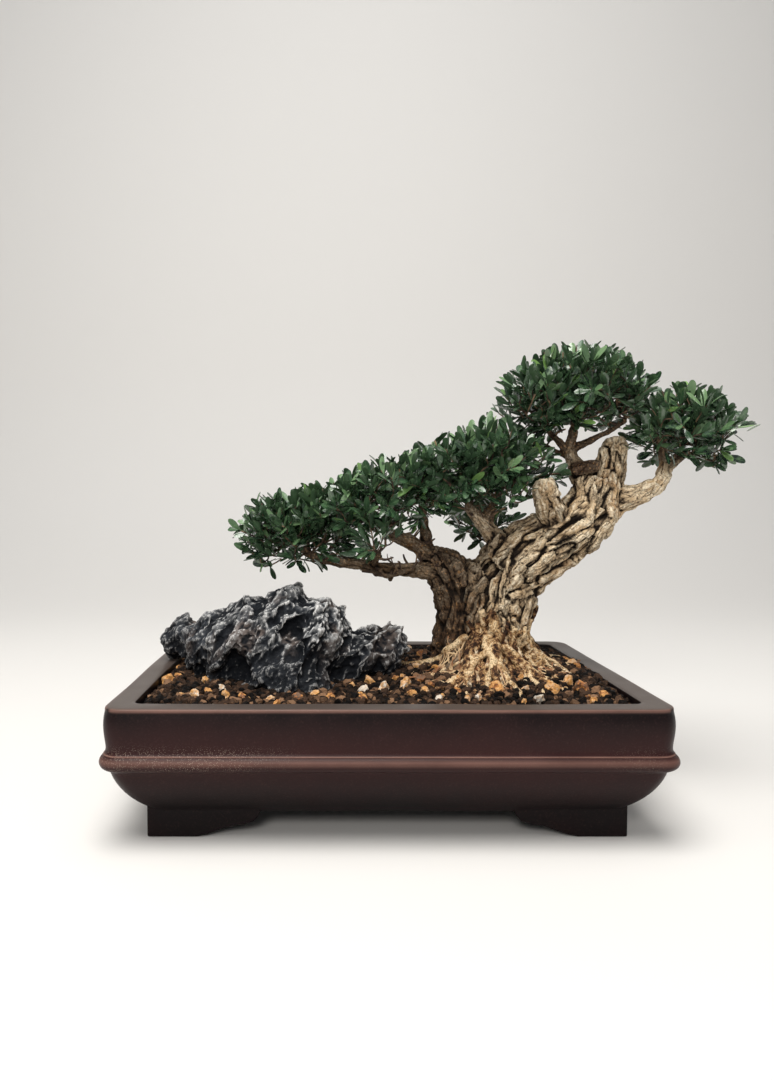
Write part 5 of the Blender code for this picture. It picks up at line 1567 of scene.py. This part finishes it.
for name, piece in pad_leaves.items():
    dress(piece, leafy, 60.0)
    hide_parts("foliage_" + name)
    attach(piece, "root")

# Twigs
# Fine reddish-brown wood that forks from the branch ends to the foot of every shoot.
# Each twig is drawn from the nearest wood already there, and gets thicker where more shoots hang on it.

TWIG_STEP = 5.0
twig_runs = []
for name, bases in pad_bases.items():
    nodes = []
    parents = []
    loads = []
    for limb in PADS[name][2]:
        stations = LIMBS[limb]
        for (start, _), (end, radius) in zip(stations[1:], stations[2:] or stations[1:]):
            if radius < 4.6:
                for share in (0.0, 0.5, 1.0):
                    nodes.append(Vector(start).lerp(Vector(end), share))
                    parents.append(None)
                    loads.append(0)
    ends = sorted(bases, key=lambda row: min((row[0] - node).length for node in nodes))
    for base, way, length in ends:
        costs = [(base - node).length + 0.35 * max(0.0, node.z - base.z) for node in nodes]
        at = costs.index(min(costs))
        gap = base - nodes[at]
        pieces = max(1, round(gap.length / TWIG_STEP))
        start = nodes[at].copy()
        bend = Vector(draw.gauss(0, 0.09) for _ in range(3)) * gap.length
        for k in range(1, pieces + 1):
            share = k / pieces
            nodes.append(start + gap * share + bend * math.sin(math.pi * share))
            parents.append(at)
            loads.append(0)
            at = len(nodes) - 1
        nodes.append(base + way * length)
        parents.append(at)
        loads.append(1)
    for k in range(len(nodes) - 1, -1, -1):
        if parents[k] is not None:
            loads[parents[k]] += loads[k]
    children = {}
    for k, parent in enumerate(parents):
        if parent is not None:
            children.setdefault(parent, []).append(k)
    for parent, kids in children.items():
        for kid in kids:
            # A run starts at a fork or at the limb, and follows its thickest child.
            if parents[parent] is not None and kid == max(kids, key=lambda c: loads[c]):
                continue
            run = [(tuple(nodes[parent]), min(1.4, 0.36 + 0.14 * math.sqrt(loads[kid])))]
            at = kid
            while True:
                run.append((tuple(nodes[at]), min(1.4, 0.3 + 0.14 * math.sqrt(loads[at]))))
                if at not in children:
                    break
                at = max(children[at], key=lambda c: loads[c])
            twig_runs.append(run)
# Old spurs stand on the branches under the pads, but not on these limbs.
BARE = (
    "right_trunk", "left_trunk", "left_foot", "left_front_foot", "stump", "sawn_branch", "knob",
    "right_branch", "crown_leader",
)
spurs = []
for limb, stations in LIMBS.items():
    if limb in BARE:
        continue
    for (start, start_radius), (end, end_radius) in zip(stations[1:], stations[2:]):
        for share in (0.1, 0.28, 0.46, 0.64, 0.82):
            foot = Vector(start).lerp(Vector(end), share)
            thick = start_radius + (end_radius - start_radius) * share
            if thick > 7.0 or draw.random() < 0.2:
                continue
            heading = Vector((draw.gauss(0, 0.9), draw.gauss(-0.3, 0.8), abs(draw.gauss(0.9, 0.6))))
            heading.normalize()
            reach = thick + draw.uniform(2.0, 13.0)
            bend = Vector(draw.gauss(0, 1.3) for _ in range(3))
            girth = draw.uniform(0.45, 0.95)
            middle = foot + heading * (thick + reach) / 2 + bend
            spurs.append([
                (tuple(foot), girth * 1.3), (tuple(foot + heading * thick), girth * 1.2),
                (tuple(middle), girth), (tuple(foot + heading * reach), girth * 0.6),
            ])
twigs = curve_through("twigs", spurs + twig_runs, 0)
RED_TWIG = (0.045, 0.025, 0.016)
TAN_TWIG = (0.24, 0.155, 0.085)
twiggy = Finish("twig", RED_TWIG)
tint = twiggy.noise(240.0, 5.0)
twiggy.wash(TAN_TWIG, tint, 0.42, 0.68)
twiggy.close(0.8, (0.6, 0.0005, tint))
dress(twigs, twiggy)
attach(twigs, "root")

# Floor, light and camera
# A plain pale floor that curves up into a backdrop, plain soft light from above, and the camera where
# the photograph was taken from.

# The floor in section, as metres behind the pot and metres up.
SWEEP = [
    (-3.0, 0.0), (0.3, 0.0), (0.5, 0.0), (0.7, 0.0), (0.92, 0.0), (1.15, 0.03), (1.36, 0.12), (1.5, 0.26),
    (1.58, 0.45), (1.6, 0.7), (1.6, 3.2),
]
clear_selection()
bpy.ops.mesh.primitive_grid_add(x_subdivisions=1, y_subdivisions=len(SWEEP) - 1, size=2.0)
floor = bpy.context.object
floor.name = "floor"
for vertex in floor.data.vertices:
    row = round((vertex.co.y + 1.0) * (len(SWEEP) - 1) / 2)
    vertex.co = (vertex.co.x * 3.5, SWEEP[row][0], SWEEP[row][1] - 0.0002)
bend = floor.modifiers.new("Smooth sweep", "SUBSURF")
bend.levels = bend.render_levels = 3
apply_all(floor)
floor.data.shade_smooth()
pale = Finish("pale_floor", (0.76, 0.745, 0.72))
pale.close(0.8)
floor.data.materials.append(pale.material)

world = bpy.data.worlds.new("studio")
world.use_nodes = True
background = world.node_tree.nodes["Background"].inputs
background["Color"].default_value = (0.97, 0.98, 1.0, 1.0)
background["Strength"].default_value = 0.28
bpy.context.scene.world = world


def soft_light(name, place, aim, size, power, colour=(1.0, 1.0, 1.0)):
    lamp = bpy.data.lights.new(name, "AREA")
    lamp.shape = "DISK"
    lamp.size = size
    lamp.energy = power
    lamp.color = colour
    holder = bpy.data.objects.new(name, lamp)
    holder.location = place
    holder.rotation_euler = (Vector(aim) - Vector(place)).to_track_quat("-Z", "Y").to_euler()
    bpy.context.scene.collection.objects.link(holder)


soft_light("overhead", (-0.25, -0.5, 1.55), (0.0, 0.0, 0.1), 1.1, 27.0, (1.0, 0.98, 0.95))
soft_light("front", (-0.35, -1.75, 1.05), (0.0, 0.0, 0.15), 0.6, 12.0, (1.0, 0.97, 0.93))
soft_light("backdrop", (0.0, 0.35, 2.2), (0.0, 1.6, 0.9), 1.4, 9.5)

# The lens, its shift and its tilt were solved from the pot's rim, band and feet.
CAMERA_LENS = 27.03
CAMERA_SHIFT = 0.0524
CAMERA_TILT = 2.344
lens = bpy.data.cameras.new("view")
lens.sensor_width = 36.0
lens.lens = CAMERA_LENS
lens.shift_x = CAMERA_SHIFT
lens.clip_start = 0.01
camera = bpy.data.objects.new("view", lens)
camera.location = (POT_X + EYE[0] * MM, EYE[1] * MM, EYE[2] * MM)
camera.rotation_euler = (math.radians(90 - CAMERA_TILT), 0.0, 0.0)
bpy.context.scene.collection.objects.link(camera)
bpy.context.scene.camera = camera
bpy.context.scene.view_settings.view_transform = "Standard"

bpy.context.view_layer.update()
